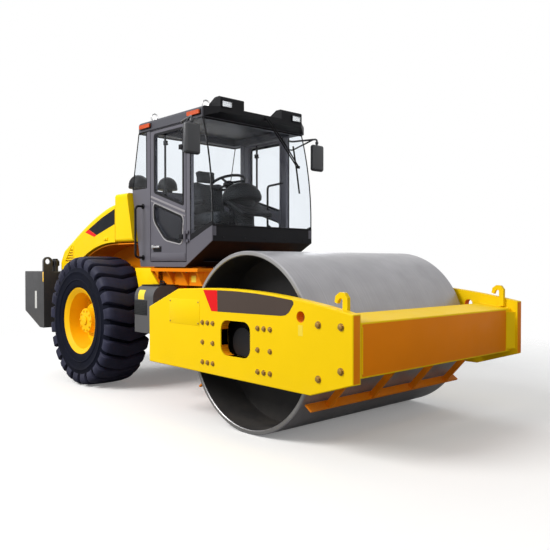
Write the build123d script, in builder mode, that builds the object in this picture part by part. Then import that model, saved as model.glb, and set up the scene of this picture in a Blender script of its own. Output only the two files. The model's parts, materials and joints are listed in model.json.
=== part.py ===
"""Single-drum road roller: a smooth vibrating drum in a welded front frame, hinged at a
centre knuckle to a two-wheeled rear frame that carries the cab, engine hood and counterweight.

Millimetres. +X is forward, +Y is the machine's left and +Z is up. The origin is on the
ground, half-way between the front frame's nose and the counterweight's tail.
"""

import os
from math import atan2, cos, degrees, hypot, radians, sin, sqrt

from build123d import *

os.makedirs("parts", exist_ok=True)

SIDES = (("left", 1), ("right", -1))

# Drum, wheels and overall length
drum_radius = 765
drum_width = 2130
drum_shell = 38
rear_overhang = 1737
axle_to_pivot = 1490
crossbeam_pivot_gap = 320
crossbeam_nose_depth = 340
crossbeam_drum_gap = 75
beam_drum_gap = 125
beam_depth = 320
beam_recess = 63
pivot_to_drum = crossbeam_pivot_gap + crossbeam_nose_depth + crossbeam_drum_gap + drum_radius
front_overhang = drum_radius + beam_drum_gap + beam_depth + beam_recess
tyre_radius = 755
tyre_width = 550
tyre_centre_y = 830
rim_radius = 385
lug_count = 24
lug_depth = 52
lug_length = 142
lug_sweep = 60

overall_length = rear_overhang + axle_to_pivot + pivot_to_drum + front_overhang
rear_end = -overall_length / 2
axle_x = rear_end + rear_overhang
pivot_x = axle_x + axle_to_pivot
drum_x = pivot_x + pivot_to_drum
front_end = drum_x + front_overhang
drum_z = drum_radius
axle_z = tyre_radius

# Body widths
cab_half_width = 700
cab_deck_ledge = 40
deck_web_inset = 140
outrigger_inset = 20
hood_side_step = 60
deck_half_width = cab_half_width + cab_deck_ledge
deck_web_y = deck_half_width - deck_web_inset
outrigger_y = deck_half_width - outrigger_inset
hood_half_width = cab_half_width + hood_side_step

# Clearances
running_gap = 0.3
joint_gap = 5
panel_gap = 8
door_gap = 10

# Front frame
drum_side_gap = 61
plate_thickness = 80
plate_tail = 1275
plate_top_z = 1211
plate_bottom_z = 475
plate_nose_top_z = 1075
plate_nose_bottom_z = 592
plate_inner_y = drum_width / 2 + drum_side_gap
plate_outer_y = plate_inner_y + plate_thickness
plate_edge_fillet = 9
window_length = 377
window_height = 294
window_z = 806
lifting_hole_radius = 43
lifting_hole_back = 501
lifting_hole_drop = 42

beam_top_z = 1008
beam_top_rise = 37
beam_bottom_z = 610
beam_wall = 20
beam_front_x = front_end - beam_recess
beam_rear_x = beam_front_x - beam_depth

crossbeam_bottom_z = 520
crossbeam_height = 480
crossbeam_wall = 30
crossbeam_end_depth = 100
crossbeam_shoulder_y = 720
crossbeam_shoulder_depth = 120
crossbeam_nose_y = 330
crossbeam_rear_x = pivot_x + crossbeam_pivot_gap
crossbeam_front_x = crossbeam_rear_x + crossbeam_nose_depth

# Centre knuckle: steering pin upright, oscillation trunnion along X
knuckle_z = 690
knuckle_boss_radius = 110
knuckle_pin_radius = 45
knuckle_half_height = 220
trunnion_radius = 90
trunnion_collar_radius = 150
trunnion_collar_length = 70
trunnion_end_gap = 7
lug_thickness = 60
lug_radius = 110

# Steering cylinders, measured from the steering pin
cylinder_base_back = 560
cylinder_base_y = 165
cylinder_eye_ahead = 0
cylinder_eye_y = 180
cylinder_z = 640
barrel_radius = 42
barrel_length = 400
barrel_floor = 70
rod_radius = 22
rod_length = 380
eye_radius = 40
eye_thickness = 96
ear_thickness = 30
eye_gap = 1

# Rear chassis
rail_inner_y = 330
rail_thickness = 50
rail_bottom_z = 890
rail_height = 240
rail_top_z = rail_bottom_z + rail_height
rail_outer_y = rail_inner_y + rail_thickness
rail_front_x = pivot_x - 377
neck_half_width = 65
neck_front_x = pivot_x - knuckle_boss_radius - 37
cross_plate = 40
rear_cross_plate_x = rail_front_x - 490
outrigger_rear_x = rail_front_x - 300
outrigger_length = 250
outrigger_top_z = 1000

# Rear axle and hubs
axle_tube_radius = 130
differential_radius = 230
spindle_radius = 60
spindle_end_y = 800
hub_inner_y = 560

# Counterweight at the tail
counterweight_length = 597
counterweight_half_width = 1000
counterweight_top_z = 1320
counterweight_bottom_z = 585
counterweight_tail_z = 786
counterweight_slope_length = 473
tie_lug_width = 120
tie_lug_thickness = 40
tie_lug_height = 190
tie_lug_hole = 36
filler_radius = 50
filler_height = 165
filler_y = 820
counterweight_front_x = rear_end + counterweight_length
tie_lug_y = counterweight_half_width - tie_lug_width / 2
tie_lug_eye_z = counterweight_top_z + tie_lug_height - tie_lug_width / 2

# Side tanks ahead of the rear wheels
tank_rear_back = 415
tank_length = 355
tank_inner_y = 640
tank_outer_y = 980
tank_bottom_z = 705
tank_top_z = 1195
tank_corner = 120
tank_rear_x = pivot_x - tank_rear_back

# Cab deck
deck_front_x = pivot_x + 370
deck_rear_x = pivot_x - 800
deck_plate = 35
deck_top_z = 1375
deck_web_thickness = 40
cab_mount_height = 15
cab_mount_radius = 55

# Cab
cab_wall = 50
cab_bottom_z = deck_top_z + cab_mount_height
cab_front_reach = 560
cab_rake = 151
cab_front_x = pivot_x + cab_front_reach
cab_bottom_rear_x = pivot_x - 750
cab_belt_rear_x = pivot_x - 920
cab_top_rear_x = pivot_x - 778
cab_top_front_x = cab_front_x - cab_rake
cab_chin_x = pivot_x + 100
cab_chin_z = 1650
cab_sill_z = 1800
cab_belt_z = 2250
roof_bottom_z = 2880
roof_thickness = 110
roof_overhang = 15
roof_top_z = roof_bottom_z + roof_thickness
windscreen_bulge = 45
glass_thickness = 10
post_front_x = pivot_x + 195
post_sill_z = 1660
door_front_x = pivot_x + 130
door_width = 680
door_rear_x = door_front_x - door_width
door_bottom_z = cab_bottom_z + cab_wall
door_thickness = 50
door_hinge_x = door_front_x - 4
door_hinge_y = cab_half_width + 18
quarter_front_x = door_rear_x - 70
rear_pane_bottom_z = cab_belt_z + 10
rear_slope = (cab_top_rear_x - cab_belt_rear_x) / (roof_bottom_z - cab_belt_z)
rear_pane_foot_x = cab_belt_rear_x + rear_slope * (rear_pane_bottom_z - cab_belt_z)
door_hinge_levels = (door_bottom_z + 260, roof_bottom_z - 260)
visor_depth = 107
visor_inset = 15
visor_taper = 128
visor_half_width = cab_half_width + roof_overhang - visor_inset
lamp_box_width = 307
lamp_box_height = 95
lamp_box_outer_y = visor_half_width - visor_taper
lamp_box_top_z = roof_top_z + lamp_box_height
lamp_y = lamp_box_outer_y - 84
lamp_z = roof_top_z + 22
mirror_x = cab_front_x - 90
mirror_standoff = 180
mirror_y = cab_half_width + mirror_standoff
mirror_drop = 240
mirror_z = roof_bottom_z - mirror_drop
mirror_height = 330
mirror_width = 190
mirror_depth = 70
tube_radius = 12

# Hood and bulkhead
hood_wall = 25
hood_bottom_z = 1340
hood_tail_z = 1520
hood_front_top_z = 2126
hood_shoulder = 60
hood_hinge_z = 1350
hood_hinge_back = 25
hood_hinge_y = 490
hinge_barrel_radius = 15
hinge_pin_radius = 8
arch_clearance = 162
arch_top_z = 2 * tyre_radius + arch_clearance
bulkhead_rear_x = cab_belt_rear_x - 287
bulkhead_top_z = 2230
hood_front_x = bulkhead_rear_x - panel_gap
hood_rear_x = counterweight_front_x + 3
arch_rear_x = axle_x - 797
fender_wall = 20


def side_view(y):
    """Sketch plane parallel to the machine's side: local x is +X, local y is +Z, normal is -Y."""
    return Plane.XZ.offset(-y)


def end_view(x):
    """Sketch plane across the machine: local x is +Y, local y is +Z, normal is +X."""
    return Plane.YZ.offset(x)


def spin_plane(x, y, z):
    """Sketch plane square to a wheel's axis: local x is +X, normal is +Y."""
    return Plane(origin=(x, y, z), x_dir=(1, 0, 0), z_dir=(0, 1, 0))


def finish(piece, name):
    """Labels a finished piece and writes its STEP file."""
    piece.part.label = name
    export_step(piece.part, f"parts/{name}.step")


# Front frame: two side plates joined by the front beam and the rear crossbeam

plate_mid_y = (plate_inner_y + plate_outer_y) / 2
for side, sign in SIDES:
    with BuildPart() as side_plate:
        with BuildSketch(side_view(sign * plate_mid_y)):
            with BuildLine():
                Polyline(
                    (drum_x - 420, plate_top_z),
                    (drum_x - 794, plate_top_z - 15),
                    (drum_x - plate_tail, plate_top_z - 199),
                    (drum_x - plate_tail, plate_bottom_z + 10),
                    (drum_x + 866, plate_bottom_z - 10),
                    (front_end, plate_nose_bottom_z),
                    (front_end, plate_nose_top_z),
                )
                ThreePointArc(
                    (drum_x - 420, plate_top_z),
                    (drum_x + 520, plate_top_z - 27),
                    (front_end, plate_nose_top_z),
                )
            make_face()
            with Locations((drum_x + 18, window_z)):
                RectangleRounded(window_length, window_height, 80, mode=Mode.SUBTRACT)
            with Locations((front_end - lifting_hole_back, plate_nose_top_z - lifting_hole_drop)):
                Circle(lifting_hole_radius, mode=Mode.SUBTRACT)
        extrude(amount=plate_thickness / 2, both=True)
        outer_face = side_plate.faces().filter_by(Axis.Y).sort_by(Axis.Y)[(sign - 1) // 2 * -1 - 1]
        fillet(outer_face.outer_wire().edges(), plate_edge_fillet)
    finish(side_plate, f"side_plate_{side}")

with BuildPart() as front_beam:
    with BuildSketch(side_view(0)):
        with BuildLine():
            Polyline(
                (beam_front_x, beam_bottom_z),
                (beam_front_x, beam_top_z),
                (beam_rear_x, beam_top_z + beam_top_rise),
                (beam_rear_x, beam_bottom_z),
                close=True,
            )
        make_face()
        fillet(vertices(), 12)
        offset(amount=-beam_wall, mode=Mode.SUBTRACT)
    extrude(amount=plate_inner_y, both=True)
    # Tapered gusset plates close the recess between the beam's face and each side plate
    with BuildSketch(Plane.XY.offset(beam_bottom_z + 30)) as gusset_plan:
        with BuildLine():
            Polyline(
                (beam_front_x, plate_inner_y),
                (beam_front_x, plate_inner_y - 90),
                (beam_front_x + 45, plate_inner_y),
                close=True,
            )
        make_face()
        mirror(about=Plane.XZ)
    extrude(amount=beam_top_z - beam_bottom_z - 60)
finish(front_beam, "front_beam")

with BuildPart() as rear_crossbeam:
    with BuildSketch(Plane.XY.offset(crossbeam_bottom_z)):
        with BuildLine():
            Polyline(
                (crossbeam_front_x, 0),
                (crossbeam_front_x, plate_inner_y),
                (crossbeam_front_x - crossbeam_end_depth, plate_inner_y),
                (crossbeam_front_x - crossbeam_shoulder_depth, crossbeam_shoulder_y),
                (crossbeam_rear_x, crossbeam_nose_y),
                (crossbeam_rear_x, 0),
                close=True,
            )
        make_face()
        mirror(about=Plane.XZ)
    extrude(amount=crossbeam_height)
    with BuildSketch(Plane.XY.offset(crossbeam_bottom_z + crossbeam_wall)):
        with BuildLine():
            Polyline(
                (crossbeam_front_x - crossbeam_wall, 0),
                (crossbeam_front_x - crossbeam_wall, plate_inner_y),
                (crossbeam_front_x - crossbeam_end_depth + crossbeam_wall, plate_inner_y),
                (crossbeam_front_x - crossbeam_shoulder_depth + crossbeam_wall, crossbeam_shoulder_y),
                (crossbeam_rear_x + crossbeam_wall, crossbeam_nose_y - crossbeam_wall),
                (crossbeam_rear_x + crossbeam_wall, 0),
                close=True,
            )
        make_face()
        mirror(about=Plane.XZ)
    extrude(amount=crossbeam_height - 2 * crossbeam_wall, mode=Mode.SUBTRACT)
    with BuildSketch(end_view(crossbeam_rear_x)):
        with Locations((0, knuckle_z)):
            Circle(trunnion_collar_radius)
    extrude(amount=crossbeam_nose_depth)
    with BuildSketch(end_view(crossbeam_rear_x)):
        with Locations((0, knuckle_z)):
            Circle(trunnion_radius + running_gap)
    extrude(amount=crossbeam_nose_depth, mode=Mode.SUBTRACT)
finish(rear_crossbeam, "rear_crossbeam")

with BuildPart() as lifting_hooks:
    hook_x = beam_front_x - 80
    hook_rise = beam_top_z + 20
    hook_plate = 34
    with BuildSketch(side_view(plate_inner_y)):
        with BuildLine():
            Polyline(
                (hook_x - 22, hook_rise),
                (hook_x - 22, hook_rise + 142),
                (hook_x - 40, hook_rise + 154),
                (hook_x - 62, hook_rise + 140),
                (hook_x - 72, hook_rise + 112),
                (hook_x - 98, hook_rise + 122),
                (hook_x - 88, hook_rise + 168),
                (hook_x - 50, hook_rise + 194),
                (hook_x - 6, hook_rise + 190),
                (hook_x + 22, hook_rise + 156),
                (hook_x + 22, hook_rise),
                close=True,
            )
        make_face()
    extrude(amount=hook_plate)
    mirror(about=Plane.XZ)
finish(lifting_hooks, "lifting_hooks")


def scraper(reach, arm_root_x, arm_root_z, arm_root_depth):
    """Scraper bar along the drum with its four arms; reach is +1 ahead of the drum, -1 behind."""
    blade_angle = radians(-34)
    blade_inner = drum_radius + 8
    blade_outer = blade_inner + 80
    blade_thickness = 16
    blade_half_length = drum_width / 2 - 35
    arm_end_inset = 210
    arm_width = 22
    foot_length = 90
    foot_width = 190
    foot_thickness = 14
    along = (cos(blade_angle), sin(blade_angle))
    across = (-along[1], along[0])
    with BuildPart() as piece:
        with BuildSketch(side_view(0)):
            with BuildLine():
                Polyline(
                    *[
                        (
                            drum_x + reach * (r * along[0] + t * across[0]),
                            drum_z + r * along[1] + t * across[1],
                        )
                        for r, t in (
                            (blade_inner, 0),
                            (blade_outer, 0),
                            (blade_outer, blade_thickness),
                            (blade_inner + 4, blade_thickness),
                        )
                    ],
                    close=True,
                )
            make_face()
        extrude(amount=blade_half_length, both=True)
        outer_arm_y = blade_half_length - arm_end_inset
        for arm_y in (-outer_arm_y, -280, 280, outer_arm_y):
            with BuildSketch(side_view(arm_y)):
                with BuildLine():
                    Polyline(
                        (drum_x + reach * blade_outer * along[0], drum_z + blade_outer * along[1]),
                        (
                            drum_x + reach * (blade_outer - 45) * along[0],
                            drum_z + (blade_outer - 45) * along[1] + 10,
                        ),
                        (arm_root_x, arm_root_z),
                        (arm_root_x + reach * arm_root_depth, arm_root_z),
                        close=True,
                    )
                make_face()
            extrude(amount=arm_width / 2, both=True)
            with BuildSketch(side_view(arm_y)):
                with Locations((arm_root_x + reach * arm_root_depth / 2, arm_root_z - foot_thickness / 2)):
                    Rectangle(foot_length, foot_thickness)
            extrude(amount=foot_width / 2, both=True)
    return piece


finish(scraper(1, beam_rear_x + 40, beam_bottom_z, 70), "front_scraper")
finish(scraper(-1, crossbeam_front_x - 20, crossbeam_bottom_z, 60), "rear_scraper")

# Drum and what carries it

head_recess = 425
head_inner_y = drum_width / 2 - head_recess
head_thickness = 30
hub_length = 120
hub_radius = 200
stub_radius = 120
carrier_thickness = 30
carrier_length = 960
carrier_height = 470
buffer_radius = 55
carrier_outer_y = drum_width / 2 - 25
carrier_inner_y = carrier_outer_y - carrier_thickness

with BuildPart() as drum:
    with BuildSketch(spin_plane(drum_x, -drum_width / 2, drum_z)):
        Circle(drum_radius)
        Circle(drum_radius - drum_shell, mode=Mode.SUBTRACT)
    extrude(amount=drum_width)
    for sign in (1, -1):
        with BuildSketch(spin_plane(drum_x, sign * (head_inner_y + hub_length / 2), drum_z)):
            Circle(hub_radius)
            Circle(stub_radius + running_gap, mode=Mode.SUBTRACT)
        extrude(amount=hub_length / 2, both=True)
        with BuildSketch(spin_plane(drum_x, sign * (head_inner_y + head_thickness / 2 + 20), drum_z)):
            Circle(drum_radius - drum_shell)
            Circle(hub_radius, mode=Mode.SUBTRACT)
        extrude(amount=head_thickness / 2, both=True)
    rim_edges = drum.edges().filter_by(GeomType.CIRCLE).filter_by(
        lambda edge: abs(abs(edge.center().Y) - drum_width / 2) < 1
    )
    chamfer(rim_edges, 5)
finish(drum, "drum")

with BuildPart() as drum_carriers:
    with BuildSketch(spin_plane(drum_x, carrier_inner_y, drum_z)):
        with Locations((10, 25)):
            RectangleRounded(carrier_length, carrier_height, 70)
    extrude(amount=carrier_thickness)
    with BuildSketch(spin_plane(drum_x, head_inner_y, drum_z)):
        Circle(stub_radius)
    extrude(amount=carrier_inner_y - head_inner_y)
    with BuildSketch(spin_plane(drum_x, carrier_outer_y, drum_z)):
        Circle(125)
    extrude(amount=70)
    mirror(about=Plane.XZ)
finish(drum_carriers, "drum_carriers")

with BuildPart() as drum_buffers:
    with BuildSketch(spin_plane(drum_x, carrier_outer_y, drum_z)):
        with Locations((10, 25)):
            with GridLocations(720, 172, 2, 3):
                Circle(buffer_radius)
    extrude(amount=plate_inner_y - carrier_outer_y)
    mirror(about=Plane.XZ)
finish(drum_buffers, "drum_buffers")

# Centre knuckle

boss_bottom_z = knuckle_z - knuckle_half_height
boss_top_z = knuckle_z + knuckle_half_height
lug_bottom_z = boss_bottom_z - joint_gap - lug_thickness
lug_top_z = boss_top_z + joint_gap
collar_front_x = crossbeam_rear_x - joint_gap
collar_rear_x = collar_front_x - trunnion_collar_length
ear_top_z = cylinder_z - eye_thickness / 2 - eye_gap

with BuildPart() as knuckle:
    with BuildSketch(Plane.XY.offset(boss_bottom_z)):
        with Locations((pivot_x, 0)):
            Circle(knuckle_boss_radius)
    extrude(amount=2 * knuckle_half_height)
    with BuildSketch(Plane.XY.offset(lug_bottom_z)):
        with Locations((pivot_x, 0)):
            Circle(knuckle_pin_radius)
    extrude(amount=lug_top_z + lug_thickness - lug_bottom_z)
    with BuildSketch(Plane.XY.offset(knuckle_z - 125)):
        with Locations(((pivot_x + collar_rear_x) / 2, 0)):
            Rectangle(collar_rear_x - pivot_x, 2 * knuckle_boss_radius)
    extrude(amount=250)
    with BuildSketch(end_view(collar_rear_x)):
        with Locations((0, knuckle_z)):
            Circle(trunnion_collar_radius)
    extrude(amount=trunnion_collar_length)
    with BuildSketch(end_view(collar_front_x)):
        with Locations((0, knuckle_z)):
            Circle(trunnion_radius)
    extrude(amount=crossbeam_front_x - trunnion_end_gap - collar_front_x)
    with BuildSketch(Plane.XY.offset(ear_top_z - ear_thickness)):
        with Locations((pivot_x + cylinder_eye_ahead, 0)):
            SlotCenterToCenter(2 * cylinder_eye_y, 2 * eye_radius, rotation=90)
    extrude(amount=ear_thickness)
finish(knuckle, "knuckle")

# Steering cylinders

cylinder_base_x = pivot_x - cylinder_base_back
cylinder_run_x = cylinder_base_back + cylinder_eye_ahead
cylinder_run_y = cylinder_eye_y - cylinder_base_y
cylinder_rest_length = hypot(cylinder_run_x, cylinder_run_y)
base_block_radius = 48
base_block_height = 2 * barrel_radius + 6

for side, sign in SIDES:
    run = Vector(cylinder_run_x, sign * cylinder_run_y, 0).normalized()
    base = Vector(cylinder_base_x, sign * cylinder_base_y, cylinder_z)
    with BuildPart() as steering_barrel:
        with BuildSketch(Plane.XY.offset(cylinder_z - base_block_height / 2)):
            with Locations((base.X, base.Y)):
                Circle(base_block_radius)
        extrude(amount=base_block_height)
        with BuildSketch(Plane(origin=base, z_dir=run)):
            Circle(barrel_radius)
        extrude(amount=barrel_length)
        with BuildSketch(Plane(origin=base + run * barrel_floor, z_dir=run)):
            Circle(rod_radius + running_gap)
        extrude(amount=barrel_length, mode=Mode.SUBTRACT)
    finish(steering_barrel, f"steering_barrel_{side}")
    eye = base + run * cylinder_rest_length
    with BuildPart() as steering_rod:
        with BuildSketch(Plane(origin=eye - run * rod_length, z_dir=run)):
            Circle(rod_radius)
        extrude(amount=rod_length)
        with BuildSketch(Plane.XY.offset(cylinder_z - eye_thickness / 2)):
            with Locations((eye.X, eye.Y)):
                Circle(eye_radius)
        extrude(amount=eye_thickness)
    finish(steering_rod, f"steering_rod_{side}")

# Rear chassis: neck and lugs at the knuckle, rails back to the counterweight

tank_arm_bottom_z = 860
tank_arm_height = 100
with BuildPart() as rear_chassis:
    with BuildSketch(Plane.XY.offset(lug_bottom_z)):
        with Locations(((rear_cross_plate_x + neck_front_x) / 2, 0)):
            Rectangle(neck_front_x - rear_cross_plate_x, 2 * neck_half_width)
    extrude(amount=lug_top_z + lug_thickness - lug_bottom_z)
    for level in (lug_bottom_z, lug_top_z):
        with BuildSketch(Plane.XY.offset(level)):
            with Locations(((neck_front_x - 180 + pivot_x) / 2, 0)):
                Rectangle(pivot_x - neck_front_x + 180, 2 * lug_radius)
            with Locations((pivot_x, 0)):
                Circle(lug_radius)
                Circle(knuckle_pin_radius + running_gap, mode=Mode.SUBTRACT)
        extrude(amount=lug_thickness)
    with BuildSketch(Plane.XY.offset(rail_bottom_z)):
        with Locations(((rail_front_x + counterweight_front_x) / 2, (rail_inner_y + rail_outer_y) / 2)):
            Rectangle(rail_front_x - counterweight_front_x, rail_thickness)
        mirror(about=Plane.XZ)
    extrude(amount=rail_height)
    front_plate_bottom_z = cylinder_z + barrel_radius + 38
    with BuildSketch(Plane.XY.offset(front_plate_bottom_z)):
        with Locations((rail_front_x - cross_plate / 2, 0)):
            Rectangle(cross_plate, 2 * rail_outer_y)
    extrude(amount=rail_top_z - front_plate_bottom_z)
    with BuildSketch(Plane.XY.offset(lug_bottom_z)):
        with Locations((rear_cross_plate_x + cross_plate / 2, 0)):
            Rectangle(cross_plate, 2 * rail_outer_y)
    extrude(amount=rail_top_z - lug_bottom_z)
    with BuildSketch(Plane.XY.offset(rail_bottom_z)):
        with Locations((counterweight_front_x + cross_plate / 2, 0)):
            Rectangle(cross_plate, 2 * rail_outer_y)
    extrude(amount=rail_height)
    with BuildSketch(Plane.XY.offset(rail_bottom_z + 10)):
        with Locations((outrigger_rear_x + outrigger_length / 2, (rail_outer_y + outrigger_y) / 2)):
            Rectangle(outrigger_length, outrigger_y - rail_outer_y)
        mirror(about=Plane.XZ)
    extrude(amount=outrigger_top_z - rail_bottom_z - 10)
    with BuildSketch(Plane.XY.offset(tank_arm_bottom_z)):
        with Locations((pivot_x - 257, 0)):
            Rectangle(180, 2 * tank_inner_y)
    extrude(amount=tank_arm_height)
    with BuildSketch(Plane.XY.offset(cylinder_z - base_block_height / 2 - ear_thickness)):
        with Locations((cylinder_base_x, 0)):
            Rectangle(110, 2 * (cylinder_base_y + base_block_radius))
    extrude(amount=ear_thickness)
    # Pads under the rails seat the axle
    with BuildSketch(Plane.XY.offset(axle_z)):
        with Locations((axle_x, (rail_inner_y + rail_outer_y) / 2)):
            Rectangle(260, rail_thickness)
        mirror(about=Plane.XZ)
    extrude(amount=rail_bottom_z - axle_z)
    with BuildSketch(spin_plane(axle_x, -rail_outer_y, axle_z)):
        Circle(axle_tube_radius)
    extrude(amount=2 * rail_outer_y, mode=Mode.SUBTRACT)
finish(rear_chassis, "rear_chassis")

with BuildPart() as rear_axle:
    with BuildSketch(spin_plane(axle_x, -hub_inner_y + joint_gap, axle_z)):
        Circle(axle_tube_radius)
    extrude(amount=2 * (hub_inner_y - joint_gap))
    with BuildSketch(spin_plane(axle_x, -spindle_end_y, axle_z)):
        Circle(spindle_radius)
    extrude(amount=2 * spindle_end_y)
    with BuildSketch(spin_plane(axle_x, -170, axle_z)):
        Circle(differential_radius)
    extrude(amount=340)
    fillet(rear_axle.edges().filter_by(lambda e: abs(e.radius - differential_radius) < 1
                                       if e.geom_type == GeomType.CIRCLE else False), 90)
finish(rear_axle, "rear_axle")

with BuildPart() as engine_block:
    engine_front_x = bulkhead_rear_x + 110
    engine_length = 1000
    engine_bottom_z = axle_z + differential_radius + 15
    engine_height = 640
    with BuildSketch(Plane.XY.offset(engine_bottom_z)):
        with Locations((engine_front_x - 180 - engine_length / 2, 0)):
            RectangleRounded(engine_length, 2 * rail_inner_y, 40)
    extrude(amount=engine_height)
finish(engine_block, "engine_block")

# Counterweight at the tail, with tie-down lugs and the fuel filler

with BuildPart() as counterweight:
    with BuildSketch(side_view(0)):
        with BuildLine():
            Polyline(
                (counterweight_front_x, counterweight_bottom_z),
                (rear_end + counterweight_slope_length, counterweight_bottom_z),
                (rear_end, counterweight_tail_z),
                (rear_end, counterweight_top_z),
                (counterweight_front_x, counterweight_top_z),
                close=True,
            )
        make_face()
    extrude(amount=counterweight_half_width, both=True)
    fillet(counterweight.edges().filter_by(Axis.Y), 18)
    with BuildSketch(end_view(counterweight_front_x - tie_lug_thickness)):
        with Locations((tie_lug_y, counterweight_top_z - 20)):
            Rectangle(
                tie_lug_width,
                tie_lug_eye_z - counterweight_top_z + 20,
                align=(Align.CENTER, Align.MIN),
            )
        with Locations((tie_lug_y, tie_lug_eye_z)):
            Circle(tie_lug_width / 2)
            Circle(tie_lug_hole, mode=Mode.SUBTRACT)
        mirror(about=Plane.YZ)
    extrude(amount=tie_lug_thickness)
    with BuildSketch(Plane.XY.offset(counterweight_top_z - 10)):
        with Locations((counterweight_front_x - filler_radius, -filler_y)):
            Circle(filler_radius - 12)
    extrude(amount=filler_height)
    with BuildSketch(Plane.XY.offset(counterweight_top_z + 70)):
        with Locations((counterweight_front_x - filler_radius, -filler_y)):
            Circle(filler_radius)
    extrude(amount=filler_height - 90)
    # Ears and pins of the two hood hinges
    hinge_x = hood_rear_x - hood_hinge_back
    for hinge_y in (hood_hinge_y, -hood_hinge_y):
        for ear_y in (hinge_y - 40, hinge_y + 40):
            with BuildSketch(side_view(ear_y)):
                with Locations((hinge_x, hood_hinge_z)):
                    Circle(hinge_barrel_radius)
                with Locations((hinge_x - 5, counterweight_top_z - 10)):
                    Rectangle(40, hood_hinge_z - counterweight_top_z, align=(Align.CENTER, Align.MIN))
            extrude(amount=10, both=True)
        with BuildSketch(side_view(hinge_y)):
            with Locations((hinge_x, hood_hinge_z)):
                Circle(hinge_pin_radius)
        extrude(amount=40, both=True)
finish(counterweight, "counterweight")

# Side tanks: round-shouldered boxes ahead of the rear wheels

with BuildPart() as side_tanks:
    with BuildSketch(end_view(tank_rear_x)):
        with Locations(((tank_inner_y + tank_outer_y) / 2, (tank_bottom_z + tank_top_z) / 2)):
            Rectangle(tank_outer_y - tank_inner_y, tank_top_z - tank_bottom_z)
        fillet(vertices().group_by(Axis.Y)[-1], tank_corner)
    extrude(amount=tank_length)
    mirror(about=Plane.XZ)
finish(side_tanks, "side_tanks")

# Cab deck: flanged platform on legs, with gussets under its edge

deck_bottom_z = deck_top_z - deck_plate
with BuildPart() as cab_deck:
    with BuildSketch(Plane.XY.offset(deck_bottom_z)):
        with Locations(((deck_front_x + deck_rear_x) / 2, 0)):
            Rectangle(deck_front_x - deck_rear_x, 2 * deck_half_width)
    extrude(amount=deck_plate)
    with BuildSketch(Plane.XY.offset(tank_top_z)):
        with Locations(((deck_front_x - 30 + rail_front_x) / 2, deck_web_y + deck_web_thickness / 2)):
            Rectangle(deck_front_x - 30 - rail_front_x, deck_web_thickness)
        with Locations((deck_front_x - 50, 0)):
            Rectangle(40, 2 * deck_web_y)
        mirror(about=Plane.XZ)
    extrude(amount=deck_bottom_z - tank_top_z)
    for gusset_x in (pivot_x - 190, pivot_x + 70, pivot_x + 320):
        with BuildSketch(end_view(gusset_x)):
            with BuildLine():
                Polyline(
                    (deck_web_y + deck_web_thickness, tank_top_z),
                    (deck_web_y + deck_web_thickness, deck_bottom_z),
                    (deck_half_width - 10, deck_bottom_z),
                    close=True,
                )
            make_face()
            mirror(about=Plane.YZ)
        extrude(amount=16)
    with BuildSketch(side_view(outrigger_y)):
        with BuildLine():
            Polyline(
                (outrigger_rear_x - 90, deck_bottom_z),
                (outrigger_rear_x + 190, deck_bottom_z),
                (outrigger_rear_x + 340, tank_top_z + 5),
                (tank_rear_x - 10, tank_top_z + 5),
                (tank_rear_x - 10, outrigger_top_z),
                (outrigger_rear_x, outrigger_top_z),
                close=True,
            )
        make_face()
    extrude(amount=30)
    mirror(about=Plane.XZ)
    with BuildSketch(Plane.XY.offset(rail_top_z)):
        with Locations((rail_front_x - 60, 0), (rail_front_x - 370, 0)):
            with GridLocations(0, rail_inner_y + rail_outer_y, 1, 2):
                Rectangle(90, rail_thickness)
    extrude(amount=deck_bottom_z - rail_top_z)
    with BuildSketch(Plane.XY.offset(deck_top_z)):
        with Locations((pivot_x - 320, 0)):
            with GridLocations(720, 2 * (cab_half_width - 200), 2, 2):
                Circle(cab_mount_radius)
    extrude(amount=cab_mount_height)
finish(cab_deck, "cab_deck")

# Cab: one hollow shell with the door, window and roof openings cut

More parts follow.
